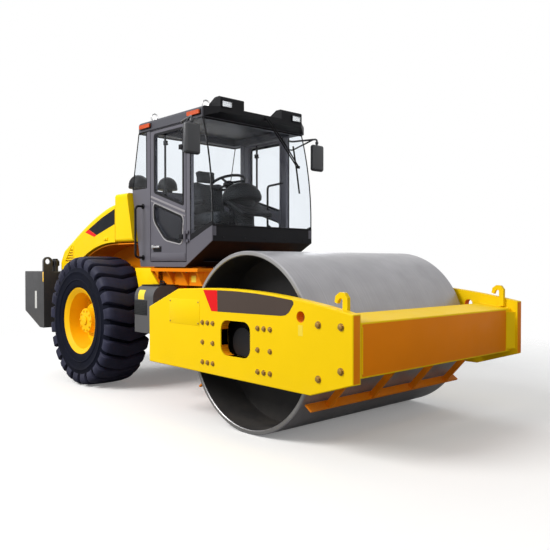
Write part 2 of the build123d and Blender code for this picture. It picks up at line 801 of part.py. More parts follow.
cab_outline = (
    (cab_bottom_rear_x, cab_bottom_z),
    (cab_belt_rear_x, cab_belt_z),
    (cab_top_rear_x, roof_bottom_z),
    (cab_top_front_x, roof_bottom_z),
    (cab_front_x, cab_sill_z),
    (cab_front_x, cab_chin_z),
    (cab_chin_x, cab_bottom_z),
)
with BuildPart() as cab_shell:
    with BuildSketch(side_view(0)):
        with BuildLine():
            Polyline(*cab_outline, close=True)
        make_face()
    extrude(amount=cab_half_width, both=True)
    with BuildSketch(side_view(0)):
        with BuildLine():
            Polyline(*cab_outline, close=True)
        make_face()
        offset(amount=-cab_wall, kind=Kind.INTERSECTION)
    extrude(amount=cab_half_width - cab_wall, both=True, mode=Mode.SUBTRACT)
    # The roof comes off at the post tops
    with BuildSketch(Plane.XY.offset(roof_bottom_z - cab_wall - 2)):
        with Locations(((cab_top_rear_x + cab_front_x) / 2, 0)):
            Rectangle(2 * (cab_front_x - cab_top_rear_x), 2 * (cab_half_width - cab_wall))
    extrude(amount=2 * cab_wall, mode=Mode.SUBTRACT)
    # Glass above the sloping sill ahead of the front door post, and above the belt behind the rear one
    with BuildSketch(side_view(0)):
        with BuildLine():
            Polyline(
                (post_front_x, post_sill_z),
                (cab_front_x + 1, cab_sill_z),
                (cab_front_x + 1, roof_bottom_z + 1),
                (post_front_x, roof_bottom_z + 1),
                close=True,
            )
        make_face()
        with BuildLine():
            Polyline(
                (door_rear_x, door_bottom_z),
                (door_front_x, door_bottom_z),
                (door_front_x, roof_bottom_z - 8),
                (door_rear_x, roof_bottom_z - 8),
                close=True,
            )
        make_face()
        with BuildLine():
            Polyline(
                (quarter_front_x, rear_pane_bottom_z),
                (quarter_front_x, roof_bottom_z + 1),
                (cab_top_rear_x - cab_wall, roof_bottom_z + 1),
                (rear_pane_foot_x - cab_wall, rear_pane_bottom_z),
                close=True,
            )
        make_face()
    extrude(amount=cab_half_width + 1, both=True, mode=Mode.SUBTRACT)
    # The front wall gives way to the separate front panel
    with BuildSketch(end_view(cab_front_x - cab_wall - 1)):
        with Locations((0, cab_sill_z)):
            Rectangle(2 * (cab_half_width - cab_wall), 700)
    extrude(amount=cab_wall + 50, mode=Mode.SUBTRACT)
    # Door hinges: an ear above and below each hinge pin
    for hinge_z in door_hinge_levels:
        for sign in (1, -1):
            for ear_z in (hinge_z - 60, hinge_z + 30):
                with BuildSketch(Plane.XY.offset(ear_z)):
                    with Locations((door_hinge_x, sign * door_hinge_y)):
                        Circle(hinge_barrel_radius)
                    with Locations((door_hinge_x + 25, sign * (cab_half_width + 9))):
                        Rectangle(50, 18)
                extrude(amount=30)
            with BuildSketch(Plane.XY.offset(hinge_z - 40)):
                with Locations((door_hinge_x, sign * door_hinge_y)):
                    Circle(hinge_pin_radius)
            extrude(amount=80)
finish(cab_shell, "cab_shell")

panel_rear_x = cab_front_x - cab_wall - 1
chin_slope = (cab_chin_z - cab_bottom_z) / (cab_front_x - cab_chin_x)
with BuildPart() as cab_front_panel:
    with BuildSketch(side_view(0)):
        with BuildLine():
            Polyline(
                (panel_rear_x, cab_sill_z),
                (cab_front_x, cab_sill_z),
                (cab_front_x, cab_chin_z),
                (panel_rear_x, cab_chin_z - chin_slope * (cab_front_x - panel_rear_x)),
                close=True,
            )
        make_face()
    extrude(amount=cab_half_width - cab_wall, both=True)
finish(cab_front_panel, "cab_front_panel")

# Glazing: bowed windscreen, and the fixed side, quarter and rear panes

screen_foot = (cab_front_x, cab_sill_z)
screen_head = (cab_top_front_x, roof_bottom_z)
screen_mid = (
    (cab_front_x + cab_top_front_x) / 2 + windscreen_bulge,
    (cab_sill_z + roof_bottom_z) / 2,
)
with BuildPart() as windscreen:
    with BuildSketch(side_view(0)):
        with BuildLine():
            ThreePointArc(screen_foot, screen_mid, screen_head)
            Line(screen_head, (screen_head[0] - glass_thickness, screen_head[1]))
            ThreePointArc(
                (screen_head[0] - glass_thickness, screen_head[1]),
                (screen_mid[0] - glass_thickness, screen_mid[1]),
                (screen_foot[0] - glass_thickness, screen_foot[1]),
            )
            Line((screen_foot[0] - glass_thickness, screen_foot[1]), screen_foot)
        make_face()
    extrude(amount=cab_half_width - glass_thickness, both=True)
finish(windscreen, "windscreen")

sill_slope = (cab_sill_z - post_sill_z) / (cab_front_x + 1 - post_front_x)
side_glass_x = cab_front_x - glass_thickness
with BuildPart() as cab_glass:
    with BuildSketch(side_view(0)):
        with BuildLine():
            Polyline(
                (rear_pane_foot_x, rear_pane_bottom_z),
                (cab_top_rear_x, roof_bottom_z),
                (cab_top_rear_x + glass_thickness, roof_bottom_z),
                (rear_pane_foot_x + glass_thickness, rear_pane_bottom_z),
                close=True,
            )
        make_face()
    extrude(amount=cab_half_width, both=True)
    with BuildSketch(side_view(cab_half_width)):
        with BuildLine():
            Polyline(
                (screen_head[0] - glass_thickness, roof_bottom_z),
                (post_front_x, roof_bottom_z),
                (post_front_x, post_sill_z),
                (side_glass_x, post_sill_z + sill_slope * (side_glass_x - post_front_x)),
                (side_glass_x, cab_sill_z),
            )
            ThreePointArc(
                (side_glass_x, cab_sill_z),
                (screen_mid[0] - glass_thickness, screen_mid[1]),
                (screen_head[0] - glass_thickness, roof_bottom_z),
            )
        make_face()
    extrude(amount=glass_thickness)
    with BuildSketch(side_view(-cab_half_width)):
        with BuildLine():
            Polyline(
                (screen_head[0] - glass_thickness, roof_bottom_z),
                (post_front_x, roof_bottom_z),
                (post_front_x, post_sill_z),
                (side_glass_x, post_sill_z + sill_slope * (side_glass_x - post_front_x)),
                (side_glass_x, cab_sill_z),
            )
            ThreePointArc(
                (side_glass_x, cab_sill_z),
                (screen_mid[0] - glass_thickness, screen_mid[1]),
                (screen_head[0] - glass_thickness, roof_bottom_z),
            )
        make_face()
    extrude(amount=-glass_thickness)
    for sign in (1, -1):
        with BuildSketch(side_view(sign * cab_half_width)):
            with BuildLine():
                Polyline(
                    (quarter_front_x, rear_pane_bottom_z),
                    (quarter_front_x, roof_bottom_z),
                    (cab_top_rear_x, roof_bottom_z),
                    (rear_pane_foot_x, rear_pane_bottom_z),
                    close=True,
                )
            make_face()
        extrude(amount=sign * glass_thickness)
finish(cab_glass, "cab_glass")

# Roof with its front visor, lamps and markers

roof_front_x = cab_top_front_x + 14
roof_rear_x = cab_top_rear_x - 20
roof_half_width = cab_half_width + roof_overhang
visor_front_x = roof_front_x + visor_depth
with BuildPart() as cab_roof:
    with BuildSketch(Plane.XY.offset(roof_bottom_z)):
        with Locations(((roof_front_x + roof_rear_x) / 2, 0)):
            Rectangle(roof_front_x - roof_rear_x, 2 * roof_half_width)
        fillet(vertices().group_by(Axis.X)[0], 60)
    extrude(amount=roof_thickness)
    top_rim = cab_roof.faces().sort_by(Axis.Z)[-1].outer_wire().edges()
    fillet(top_rim.sort_by(Axis.X)[:-1], 35)
    with BuildSketch(Plane.XY.offset(roof_bottom_z)):
        with Locations(((roof_front_x + roof_rear_x) / 2, 0)):
            Rectangle(roof_front_x - roof_rear_x - 240, 2 * roof_half_width - 220)
    extrude(amount=roof_thickness - 35, mode=Mode.SUBTRACT)
finish(cab_roof, "cab_roof")

with BuildPart() as roof_visor:
    with BuildSketch(side_view(0)):
        with BuildLine():
            Polyline(
                (roof_front_x, roof_bottom_z + 5),
                (visor_front_x, roof_bottom_z + 45),
                (visor_front_x, roof_top_z - 8),
                (roof_front_x, roof_top_z - 8),
                close=True,
            )
        make_face()
    extrude(amount=visor_half_width, both=True)
    # The visor's ends taper forward to the lamp boxes
    with BuildSketch(Plane.XY.offset(roof_bottom_z)):
        with BuildLine():
            Polyline(
                (roof_front_x, visor_half_width),
                (visor_front_x, lamp_box_outer_y),
                (visor_front_x, visor_half_width),
                close=True,
            )
        make_face()
        mirror(about=Plane.XZ)
    extrude(amount=roof_thickness, mode=Mode.SUBTRACT)
    with BuildSketch(side_view(lamp_box_outer_y)):
        with BuildLine():
            Polyline(
                (roof_front_x, roof_bottom_z + 5),
                (visor_front_x, roof_bottom_z + 45),
                (visor_front_x, lamp_box_top_z),
                (visor_front_x - 90, lamp_box_top_z),
                (roof_front_x - 120, roof_top_z + 20),
                (roof_front_x - 120, roof_top_z),
                (roof_front_x, roof_top_z),
                close=True,
            )
        make_face()
        fillet(vertices().group_by(Axis.Y)[-1], 20)
    extrude(amount=lamp_box_width)
    mirror(about=Plane.XZ)
finish(roof_visor, "roof_visor")

with BuildPart() as work_lamps:
    with BuildSketch(end_view(visor_front_x)):
        with Locations((lamp_y, lamp_z), (-lamp_y, lamp_z)):
            RectangleRounded(130, 62, 12)
    extrude(amount=8)
finish(work_lamps, "work_lamps")

with BuildPart() as marker_lamps:
    with BuildSketch(side_view(roof_half_width + 25)):
        with Locations((roof_front_x - 130, roof_top_z - 60), (roof_rear_x + 190, roof_top_z - 60)):
            RectangleRounded(205, 42, 12)
    extrude(amount=25)
    mirror(about=Plane.XZ)
finish(marker_lamps, "marker_lamps")

# Doors: framed panels with an upper and a lower window

door_top_z = roof_bottom_z - 8 - door_gap
upper_pane = (
    (door_rear_x + 77, door_top_z - 30),
    (door_front_x - 43, door_top_z - 30),
    (door_front_x - 43, door_bottom_z + 575),
    (door_rear_x + 77, door_bottom_z + 750),
)
lower_pane = (
    (door_rear_x + 70, door_bottom_z + 644),
    (door_front_x - 50, door_bottom_z + 468),
    (door_front_x - 79, door_bottom_z + 185),
    (door_rear_x + 288, door_bottom_z + 240),
    (door_rear_x + 75, door_bottom_z + 447),
)
for side, sign in SIDES:
    with BuildPart() as door:
        with BuildSketch(side_view(sign * (cab_half_width - door_thickness / 2))):
            with BuildLine():
                Polyline(
                    (door_rear_x + door_gap, door_bottom_z + door_gap),
                    (door_front_x - door_gap, door_bottom_z + door_gap),
                    (door_front_x - door_gap, door_top_z),
                    (door_rear_x + door_gap, door_top_z),
                    close=True,
                )
            make_face()
            with BuildSketch(mode=Mode.SUBTRACT):
                with BuildLine():
                    Polyline(*upper_pane, close=True)
                make_face()
                fillet(vertices(), 40)
            with BuildSketch(mode=Mode.SUBTRACT):
                with BuildLine():
                    Polyline(*lower_pane, close=True)
                make_face()
                fillet(vertices(), 60)
        extrude(amount=door_thickness / 2, both=True)
        for hinge_z in door_hinge_levels:
            with BuildSketch(Plane.XY.offset(hinge_z - 28)):
                with Locations((door_hinge_x, sign * door_hinge_y)):
                    Circle(hinge_barrel_radius)
                with Locations((door_hinge_x - 35, sign * (door_hinge_y - 9))):
                    Rectangle(70, 22)
                with Locations((door_hinge_x, sign * door_hinge_y)):
                    Circle(hinge_pin_radius + running_gap, mode=Mode.SUBTRACT)
            extrude(amount=56)
    finish(door, f"door_{side}")
    with BuildPart() as door_glass:
        with BuildSketch(side_view(sign * (cab_half_width - door_thickness / 2))):
            with BuildLine():
                Polyline(*upper_pane, close=True)
            make_face()
            fillet(vertices(), 40)
            offset(amount=-0.1)
        extrude(amount=glass_thickness / 2, both=True)
        with BuildSketch(side_view(sign * (cab_half_width - door_thickness / 2))):
            with BuildLine():
                Polyline(*lower_pane, close=True)
            make_face()
            fillet(vertices(), 60)
            offset(amount=-0.1)
        extrude(amount=glass_thickness / 2, both=True)
    finish(door_glass, f"door_glass_{side}")

# Operator's station

floor_z = door_bottom_z
seat_x = pivot_x - 200
with BuildPart() as seat:
    with BuildSketch(Plane.XY.offset(floor_z)):
        with Locations((seat_x, 0)):
            RectangleRounded(300, 420, 30)
    extrude(amount=410)
    with BuildSketch(Plane.XY.offset(floor_z + 410)):
        with Locations((seat_x + 10, 0)):
            RectangleRounded(520, 540, 70)
    extrude(amount=125)
    with BuildSketch(side_view(0)):
        with BuildLine():
            Polyline(
                (seat_x - 250, floor_z + 480),
                (seat_x - 120, floor_z + 500),
                (seat_x - 230, floor_z + 1060),
                (seat_x - 350, floor_z + 1040),
                close=True,
            )
        make_face()
        fillet(vertices().group_by(Axis.Y)[-1], 40)
    extrude(amount=250, both=True)
finish(seat, "seat")

console_x = pivot_x + 20
wheel_x = pivot_x - 60
wheel_z = floor_z + 885
column_run = Vector(console_x + 140 - wheel_x, 0, -50)
wheel_plane = Plane(origin=(wheel_x, 0, wheel_z), x_dir=(0, 1, 0), z_dir=(-0.34, 0, 0.94))
wheel_tube_plane = Plane(
    origin=(wheel_x, 190, wheel_z), x_dir=wheel_plane.z_dir, z_dir=wheel_plane.y_dir
)
with BuildPart() as steering_console:
    with BuildSketch(side_view(0)):
        with BuildLine():
            Polyline(
                (console_x - 60, floor_z),
                (console_x + 60, floor_z),
                (console_x + 330, floor_z + 640),
                (console_x + 410, floor_z + 670),
                (console_x + 330, floor_z + 960),
                (console_x + 80, floor_z + 880),
                (console_x + 110, floor_z + 790),
                (console_x + 200, floor_z + 680),
                close=True,
            )
        make_face()
    extrude(amount=150, both=True)
    with BuildSketch(wheel_plane):
        Circle(60)
        Rectangle(370, 36)
    extrude(amount=-22)
    with BuildSketch(Plane(origin=(wheel_x, 0, wheel_z - 10), z_dir=column_run)):
        Circle(28)
    extrude(amount=column_run.length)
    with BuildSketch(wheel_tube_plane):
        Circle(15)
    revolve(axis=Axis((wheel_x, 0, wheel_z), wheel_plane.z_dir))
finish(steering_console, "steering_console")

# Mirrors on bent arms, and the grab rails behind the doors

mirror_arm_z = roof_bottom_z - 30
mirror_arm_out = 90
mirror_brace_drop = 100
mirror_foot_x = (door_front_x + post_front_x) / 2
with BuildPart() as mirrors:
    with BuildLine() as arm_path:
        FilletPolyline(
            (mirror_foot_x, cab_half_width, mirror_arm_z),
            (mirror_foot_x, cab_half_width + mirror_arm_out, mirror_arm_z),
            (mirror_x, mirror_y, mirror_arm_z),
            (mirror_x, mirror_y, mirror_z),
            radius=40,
        )
    with BuildSketch(Plane(origin=arm_path.line @ 0, z_dir=arm_path.line % 0)):
        Circle(tube_radius)
    sweep()
    with BuildLine() as brace_path:
        FilletPolyline(
            (mirror_foot_x, cab_half_width, mirror_arm_z - mirror_brace_drop),
            (mirror_foot_x, cab_half_width + mirror_arm_out, mirror_arm_z - mirror_brace_drop),
            (mirror_x, mirror_y, mirror_arm_z - 2.5 * tube_radius),
            radius=40,
        )
    with BuildSketch(Plane(origin=brace_path.line @ 0, z_dir=brace_path.line % 0)):
        Circle(0.8 * tube_radius)
    sweep()
    with BuildSketch(Plane.XY.offset(mirror_z - mirror_height / 2)):
        with Locations((mirror_x, mirror_y)):
            RectangleRounded(mirror_depth, mirror_width, 25)
    extrude(amount=mirror_height)
    mirror(about=Plane.XZ)
finish(mirrors, "mirrors")

rail_x = door_rear_x - 145
rail_standoff = 100
rail_foot_z = cab_bottom_z + 100
rail_head_z = rail_foot_z + 570
with BuildPart() as grab_rails:
    with BuildLine() as rail_path:
        FilletPolyline(
            (rail_x, cab_half_width, rail_foot_z),
            (rail_x, cab_half_width + rail_standoff, rail_foot_z),
            (rail_x, cab_half_width + rail_standoff, rail_head_z),
            (rail_x, cab_half_width, rail_head_z),
            radius=45,
        )
    with BuildSketch(Plane(origin=rail_path.line @ 0, z_dir=rail_path.line % 0)):
        Circle(tube_radius + 1)
    sweep()
    mirror(about=Plane.XZ)
finish(grab_rails, "grab_rails")

# Bulkhead behind the cab, with the intake caps on its top

bulkhead_front_foot_x = cab_belt_rear_x + 103
bulkhead_front_top_x = cab_belt_rear_x - 27
firewall_x = bulkhead_front_foot_x - 170
with BuildPart() as bulkhead:
    with BuildSketch(side_view(0)):
        with BuildLine():
            Polyline(
                (bulkhead_rear_x, arch_top_z),
                (bulkhead_front_foot_x, arch_top_z),
                (bulkhead_front_top_x, bulkhead_top_z),
                (bulkhead_rear_x, bulkhead_top_z),
                close=True,
            )
        make_face()
    extrude(amount=hood_half_width, both=True)
    fillet(bulkhead.edges().filter_by(Axis.X), 40)
    with BuildSketch(side_view(0)):
        with BuildLine():
            Polyline(
                (bulkhead_rear_x, arch_top_z + hood_wall),
                (bulkhead_front_foot_x - hood_wall, arch_top_z + hood_wall),
                (bulkhead_front_top_x - hood_wall, bulkhead_top_z - hood_wall),
                (bulkhead_rear_x, bulkhead_top_z - hood_wall),
                close=True,
            )
        make_face()
    extrude(amount=hood_half_width - hood_wall, both=True, mode=Mode.SUBTRACT)
    with BuildSketch(Plane.XY.offset(rail_top_z)):
        with Locations((firewall_x, 0)):
            Rectangle(25, 2 * rail_outer_y)
    extrude(amount=arch_top_z + 5 - rail_top_z)
finish(bulkhead, "bulkhead")

cap_x = bulkhead_rear_x + 130
cap_radius = 118
cap_stem_radius = 60
cap_skirt = 40
cap_arc = cap_radius * sqrt(0.5)
with BuildPart() as intake_caps:
    for cap_y, stem_height in ((-120, 85), (-520, 75)):
        with BuildSketch(side_view(cap_y)):
            skirt_z = bulkhead_top_z + stem_height + cap_skirt
            with BuildLine():
                Polyline(
                    (cap_x, skirt_z + cap_radius),
                    (cap_x, bulkhead_top_z),
                    (cap_x + cap_stem_radius, bulkhead_top_z),
                    (cap_x + cap_stem_radius, bulkhead_top_z + stem_height),
                    (cap_x + cap_radius, bulkhead_top_z + stem_height),
                    (cap_x + cap_radius, skirt_z),
                )
                ThreePointArc(
                    (cap_x + cap_radius, skirt_z),
                    (cap_x + cap_arc, skirt_z + cap_arc),
                    (cap_x, skirt_z + cap_radius),
                )
            make_face()
        revolve(axis=Axis((cap_x, cap_y, 0), (0, 0, 1)))
finish(intake_caps, "intake_caps")

# Fenders over the rear wheels

fender_outer_y = hood_half_width - hood_wall - 10
arch_mid = (axle_x - 297, arch_top_z - 82)
fender_drop = 14
fender_sheet = 12
fender_front_x = bulkhead_front_foot_x - 10
with BuildPart() as fenders:
    with BuildSketch(side_view(fender_outer_y)):
        with BuildLine():
            Polyline(
                (arch_rear_x, hood_bottom_z - fender_drop - fender_sheet),
                (arch_rear_x, hood_bottom_z - fender_drop),
            )
            ThreePointArc(
                (arch_rear_x, hood_bottom_z - fender_drop),
                (arch_mid[0], arch_mid[1] - fender_drop),
                (bulkhead_rear_x, arch_top_z - fender_drop),
            )
            Polyline(
                (bulkhead_rear_x, arch_top_z - fender_drop),
                (fender_front_x, arch_top_z - fender_drop),
                (fender_front_x, arch_top_z - fender_drop - fender_sheet),
                (bulkhead_rear_x, arch_top_z - fender_drop - fender_sheet),
            )
            ThreePointArc(
                (bulkhead_rear_x, arch_top_z - fender_drop - fender_sheet),
                (arch_mid[0], arch_mid[1] - fender_drop - fender_sheet),
                (arch_rear_x, hood_bottom_z - fender_drop - fender_sheet),
            )
        make_face()
    extrude(amount=fender_outer_y - rail_outer_y)
    with BuildSketch(side_view(rail_outer_y + fender_wall)):
        with BuildLine():
            Polyline(
                (arch_rear_x, hood_bottom_z - fender_drop - 2),
                (arch_rear_x, rail_bottom_z + 60),
                (fender_front_x - 60, rail_bottom_z + 60),
                (fender_front_x, arch_top_z - fender_drop - 2),
                (bulkhead_rear_x, arch_top_z - fender_drop - 2),
            )
            ThreePointArc(
                (bulkhead_rear_x, arch_top_z - fender_drop - 2),
                (arch_mid[0], arch_mid[1] - fender_drop - 2),
                (arch_rear_x, hood_bottom_z - fender_drop - 2),
            )
        make_face()
    extrude(amount=fender_wall)
    mirror(about=Plane.XZ)
finish(fenders, "fenders")

# Engine hood: one shell hinged at its tail

hood_length = hood_front_x - hood_rear_x
hood_fall = hood_front_top_z - hood_tail_z
crown_shares = ((0.0, 0.0), (0.116, 0.045), (0.339, 0.203), (0.574, 0.427), (0.774, 0.652), (0.958, 0.865))
hood_crown = [
    (hood_front_x - along * hood_length, hood_front_top_z - down * hood_fall)
    for along, down in crown_shares
]
grille_rows = 5
grille_slot = 16
grille_pitch = 34
grille_length = 230
grille_taper = 40
grille_front_x = hood_rear_x + 350
grille_bottom_z = hood_bottom_z + 120
with BuildPart() as hood:
    with BuildSketch(side_view(0)) as hood_profile:
        with BuildLine():
            Spline(*hood_crown)
            Polyline(
                hood_crown[-1],
                (hood_rear_x, hood_tail_z),
                (hood_rear_x, hood_bottom_z),
                (arch_rear_x, hood_bottom_z),
            )
            ThreePointArc((arch_rear_x, hood_bottom_z), arch_mid, (hood_front_x - 5, arch_top_z))
            Polyline((hood_front_x - 5, arch_top_z), (hood_front_x, arch_top_z), hood_crown[0])
        make_face()
    extrude(amount=hood_half_width, both=True)
    crown_edges = hood.edges().filter_by(
        lambda edge: abs(abs(edge.center().Y) - hood_half_width) < 1
        and edge.center().Z > hood_tail_z - 40
        and edge.center().X < hood_front_x - 10
        and edge.geom_type != GeomType.CIRCLE
    )
    fillet(crown_edges, hood_shoulder)
    with BuildSketch(side_view(0)):
        with BuildLine():
            Spline(*[(x, z - hood_wall) for x, z in hood_crown])
            Polyline(
                (hood_crown[-1][0], hood_crown[-1][1] - hood_wall),
                (hood_rear_x + hood_wall, hood_tail_z - hood_wall),
                (hood_rear_x + hood_wall, hood_bottom_z - 1),
                (hood_front_x, hood_bottom_z - 1),
                (hood_front_x, hood_front_top_z - hood_wall),
            )
        make_face()
    extrude(amount=hood_half_width - hood_wall, both=True, mode=Mode.SUBTRACT)
    for hinge_y in (hood_hinge_y, -hood_hinge_y):
        with BuildSketch(side_view(hinge_y)):
            with Locations((hood_rear_x - hood_hinge_back, hood_hinge_z)):
                Circle(hinge_barrel_radius)
                Rectangle(hood_hinge_back + 5, 20, align=(Align.MIN, Align.CENTER))
                Circle(hinge_pin_radius + running_gap, mode=Mode.SUBTRACT)
        extrude(amount=25, both=True)
    # Rows of air slots taper up each side of the tail
    with BuildSketch(side_view(0)):
        for row in range(grille_rows):
            with Locations((grille_front_x - 4 * row, grille_bottom_z + row * grille_pitch)):
                Rectangle(grille_length - row * grille_taper, grille_slot, align=(Align.MAX, Align.CENTER))
    extrude(amount=hood_half_width + joint_gap, both=True, mode=Mode.SUBTRACT)
finish(hood, "hood")

# Rear wheels


def wheel_section(sign):
    """Radial section plane of one rear wheel: local x points outboard, local y is up from the axle."""
    return Plane(origin=(axle_x, sign * tyre_centre_y, axle_z), x_dir=(0, sign, 0), z_dir=(sign, 0, 0))


rim_half_width = 230
flange_thickness = 18
rim_barrel = 350
tyre_facets = 2 * lug_count
lug_shoulder = 75
lug_heel_radius = tyre_radius - 150
carcass_radius = tyre_radius - lug_depth
carcass_half_width = tyre_width / 2 - 13
carcass_shoulder = 60
lug_reach = (lug_length + lug_sweep) / 2
lug_top_radius = sqrt(tyre_radius**2 - lug_reach**2)
lug_phase = degrees(atan2(lug_reach, lug_top_radius))
for side, sign in SIDES:
    tyre_middle = Vector(axle_x, sign * tyre_centre_y, axle_z)
    with BuildPart() as lug:
        with BuildSketch(Plane(origin=tyre_middle, x_dir=(0, -1, 0), z_dir=(0, 0, -1))):
            with BuildLine():
                Polyline(
                    (-tyre_width / 2, -lug_reach),
                    (0, lug_sweep - lug_reach),
                    (tyre_width / 2, -lug_reach),
                    (tyre_width / 2, lug_length - lug_reach),
                    (0, lug_reach),
                    (-tyre_width / 2, lug_length - lug_reach),
                    close=True,
                )
            make_face()
        extrude(amount=tyre_radius)
        with BuildSketch(end_view(axle_x).shift_origin(tyre_middle)):
            with BuildLine():
                Polyline(
                    (-carcass_half_width + carcass_shoulder, -lug_heel_radius),
                    (-carcass_half_width, -lug_heel_radius),
                    (-tyre_width / 2, -lug_heel_radius - 20),
                    (-tyre_width / 2, -lug_top_radius + lug_shoulder),
                    (-tyre_width / 2 + lug_shoulder / 3, -lug_top_radius + lug_shoulder / 3),
                    (-tyre_width / 2 + lug_shoulder, -lug_top_radius),
                    (tyre_width / 2 - lug_shoulder, -lug_top_radius),
                    (tyre_width / 2 - lug_shoulder / 3, -lug_top_radius + lug_shoulder / 3),
                    (tyre_width / 2, -lug_top_radius + lug_shoulder),
                    (tyre_width / 2, -lug_heel_radius - 20),
                    (carcass_half_width, -lug_heel_radius),
                    (carcass_half_width - carcass_shoulder, -lug_heel_radius),
                    close=True,
                )
            make_face()
        extrude(amount=2 * lug_reach, both=True, mode=Mode.INTERSECT)
    with BuildPart() as tyre:
        with BuildSketch(spin_plane(axle_x, sign * tyre_centre_y, axle_z)):
            RegularPolygon(carcass_radius, tyre_facets)
        extrude(amount=carcass_half_width, both=True)
        walls = tyre.faces().filter_by(Axis.Y)
        chamfer(walls.edges(), carcass_shoulder)
        for turn in range(lug_count):
            add(lug.part.rotate(Axis(tyre_middle, (0, 1, 0)), turn * 360 / lug_count - lug_phase))
        # Seats for the rim's flanges and barrel
        for wall in (1, -1):
            with BuildSketch(spin_plane(axle_x, sign * tyre_centre_y + wall * rim_half_width, axle_z)):
                RegularPolygon(rim_radius + 10, tyre_facets)
            extrude(amount=wall * tyre_width / 2, mode=Mode.SUBTRACT)
        with BuildSketch(spin_plane(axle_x, sign * tyre_centre_y, axle_z)):
            RegularPolygon(rim_barrel, tyre_facets, major_radius=False)
        extrude(amount=tyre_width, both=True, mode=Mode.SUBTRACT)
    finish(tyre, f"tyre_{side}")
    with BuildPart() as rim:
        with BuildSketch(wheel_section(sign)):
            with BuildLine():
                Polyline(
                    (hub_inner_y - tyre_centre_y, spindle_radius + running_gap),
                    (hub_inner_y - tyre_centre_y, 170),
                    (-40, 170),
                    (-40, rim_barrel - 22),
                    (-rim_half_width, rim_barrel - 22),
                    (-rim_half_width - flange_thickness, rim_radius),
                    (-rim_half_width, rim_radius),
                    (-rim_half_width, rim_barrel),
                    (rim_half_width, rim_barrel),
                    (rim_half_width, rim_radius),
                    (rim_half_width + flange_thickness, rim_radius),
                    (rim_half_width - 20, rim_barrel - 22),
                    (0, rim_barrel - 22),
                    (0, 205),
                    (70, 195),
                    (80, 150),
                    (165, 140),
                    (175, 0),
                    (spindle_end_y + joint_gap - tyre_centre_y, 0),
                    (spindle_end_y + joint_gap - tyre_centre_y, spindle_radius + running_gap),
                    close=True,
                )
            make_face()
        revolve(axis=Axis((axle_x, 0, axle_z), (0, 1, 0)))
    finish(rim, f"rim_{side}")
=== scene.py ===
"""Looks of a single-drum road roller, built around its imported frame.

Metres. +X is forward, +Y is the machine's left and +Z is up, with the origin on the ground.
"""

import json
import logging
import math
from dataclasses import dataclass
from enum import Enum
from typing import Iterable, Iterator, Optional, Sequence

import bmesh
import bpy
from bmesh.types import BMEdge, BMFace, BMVert
from mathutils import Matrix, Vector

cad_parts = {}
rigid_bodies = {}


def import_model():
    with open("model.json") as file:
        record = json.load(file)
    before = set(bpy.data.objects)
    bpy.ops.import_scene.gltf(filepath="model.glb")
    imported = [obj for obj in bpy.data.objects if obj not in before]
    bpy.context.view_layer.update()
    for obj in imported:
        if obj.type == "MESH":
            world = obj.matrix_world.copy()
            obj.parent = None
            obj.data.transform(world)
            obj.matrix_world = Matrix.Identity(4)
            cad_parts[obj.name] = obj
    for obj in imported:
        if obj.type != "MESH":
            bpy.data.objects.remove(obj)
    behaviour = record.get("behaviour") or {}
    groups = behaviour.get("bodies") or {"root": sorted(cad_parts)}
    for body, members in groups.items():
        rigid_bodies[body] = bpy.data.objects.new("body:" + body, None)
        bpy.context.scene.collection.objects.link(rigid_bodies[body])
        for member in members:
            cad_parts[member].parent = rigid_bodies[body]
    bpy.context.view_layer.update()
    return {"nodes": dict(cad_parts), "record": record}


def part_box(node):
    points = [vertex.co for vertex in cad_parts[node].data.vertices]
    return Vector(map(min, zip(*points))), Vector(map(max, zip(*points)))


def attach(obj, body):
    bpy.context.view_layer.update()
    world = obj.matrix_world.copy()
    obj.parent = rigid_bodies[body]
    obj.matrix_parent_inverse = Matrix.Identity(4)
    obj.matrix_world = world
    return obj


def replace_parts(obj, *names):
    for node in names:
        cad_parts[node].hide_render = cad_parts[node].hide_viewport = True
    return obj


for leftover in list(bpy.data.objects):
    bpy.data.objects.remove(leftover)

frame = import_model()
LOG = logging.getLogger("road_roller")

Colour = tuple[float, float, float]
Flat = tuple[float, float]
Spot = tuple[float, float, float]
Node = bpy.types.Node
Outputs = bpy.types.bpy_prop_collection
Socket = bpy.types.NodeSocket
Tree = bpy.types.NodeTree

WHITE = (1.0, 1.0, 1.0, 1.0)
OUT: Spot = (0.0, 1.0, 0.0)
UP: Spot = (0.0, 0.0, 1.0)
DOWN: Spot = (0.0, 0.0, -1.0)
AHEAD: Spot = (1.0, 0.0, 0.0)
FILM = 0.0012


class Side(Enum):
    """The machine's two sides, each with its sign along Y."""

    LEFT = 1
    RIGHT = -1

    @property
    def word(self) -> str:
        """Lower-case name used in piece and body names."""
        return self.name.lower()


class Sheet(Enum):
    """Plane an outline is drawn on: its two axes, then the axis it is pushed along."""

    SIDE = (0, 2, 1)
    END = (1, 2, 0)


class Pattern(Enum):
    """Surface pattern that a finish shows besides its grain."""

    NONE = "none"
    RINGS = "rings"
    WEAVE = "weave"
    FLUTES = "flutes"
    HOLES = "holes"


def rectangle(low: Flat, high: Flat) -> list[Flat]:
    """Corners of a rectangle, given its lowest and its highest one."""
    return [low, (high[0], low[1]), high, (low[0], high[1])]


def around(count: int, radius: float, first: float = 0.0) -> Iterator[Spot]:
    """Places spread evenly round a circle.

    Args:
        count: number of places.
        radius: radius of the circle.
        first: where the first place lies, counted in steps.

    Returns:
        The angle of each place, and its two distances from the middle.
    """
    for turn in range(count):
        angle = math.tau * (turn + first) / count
        yield angle, radius * math.cos(angle), radius * math.sin(angle)


def placed(name: str, data: bpy.types.ID) -> bpy.types.Object:
    """Put a new object into the scene.

    Args:
        name: name of the object.
        data: its mesh, lamp or camera.

    Returns:
        The object.
    """
    made = bpy.data.objects.new(name, data)
    bpy.context.scene.collection.objects.link(made)
    return made


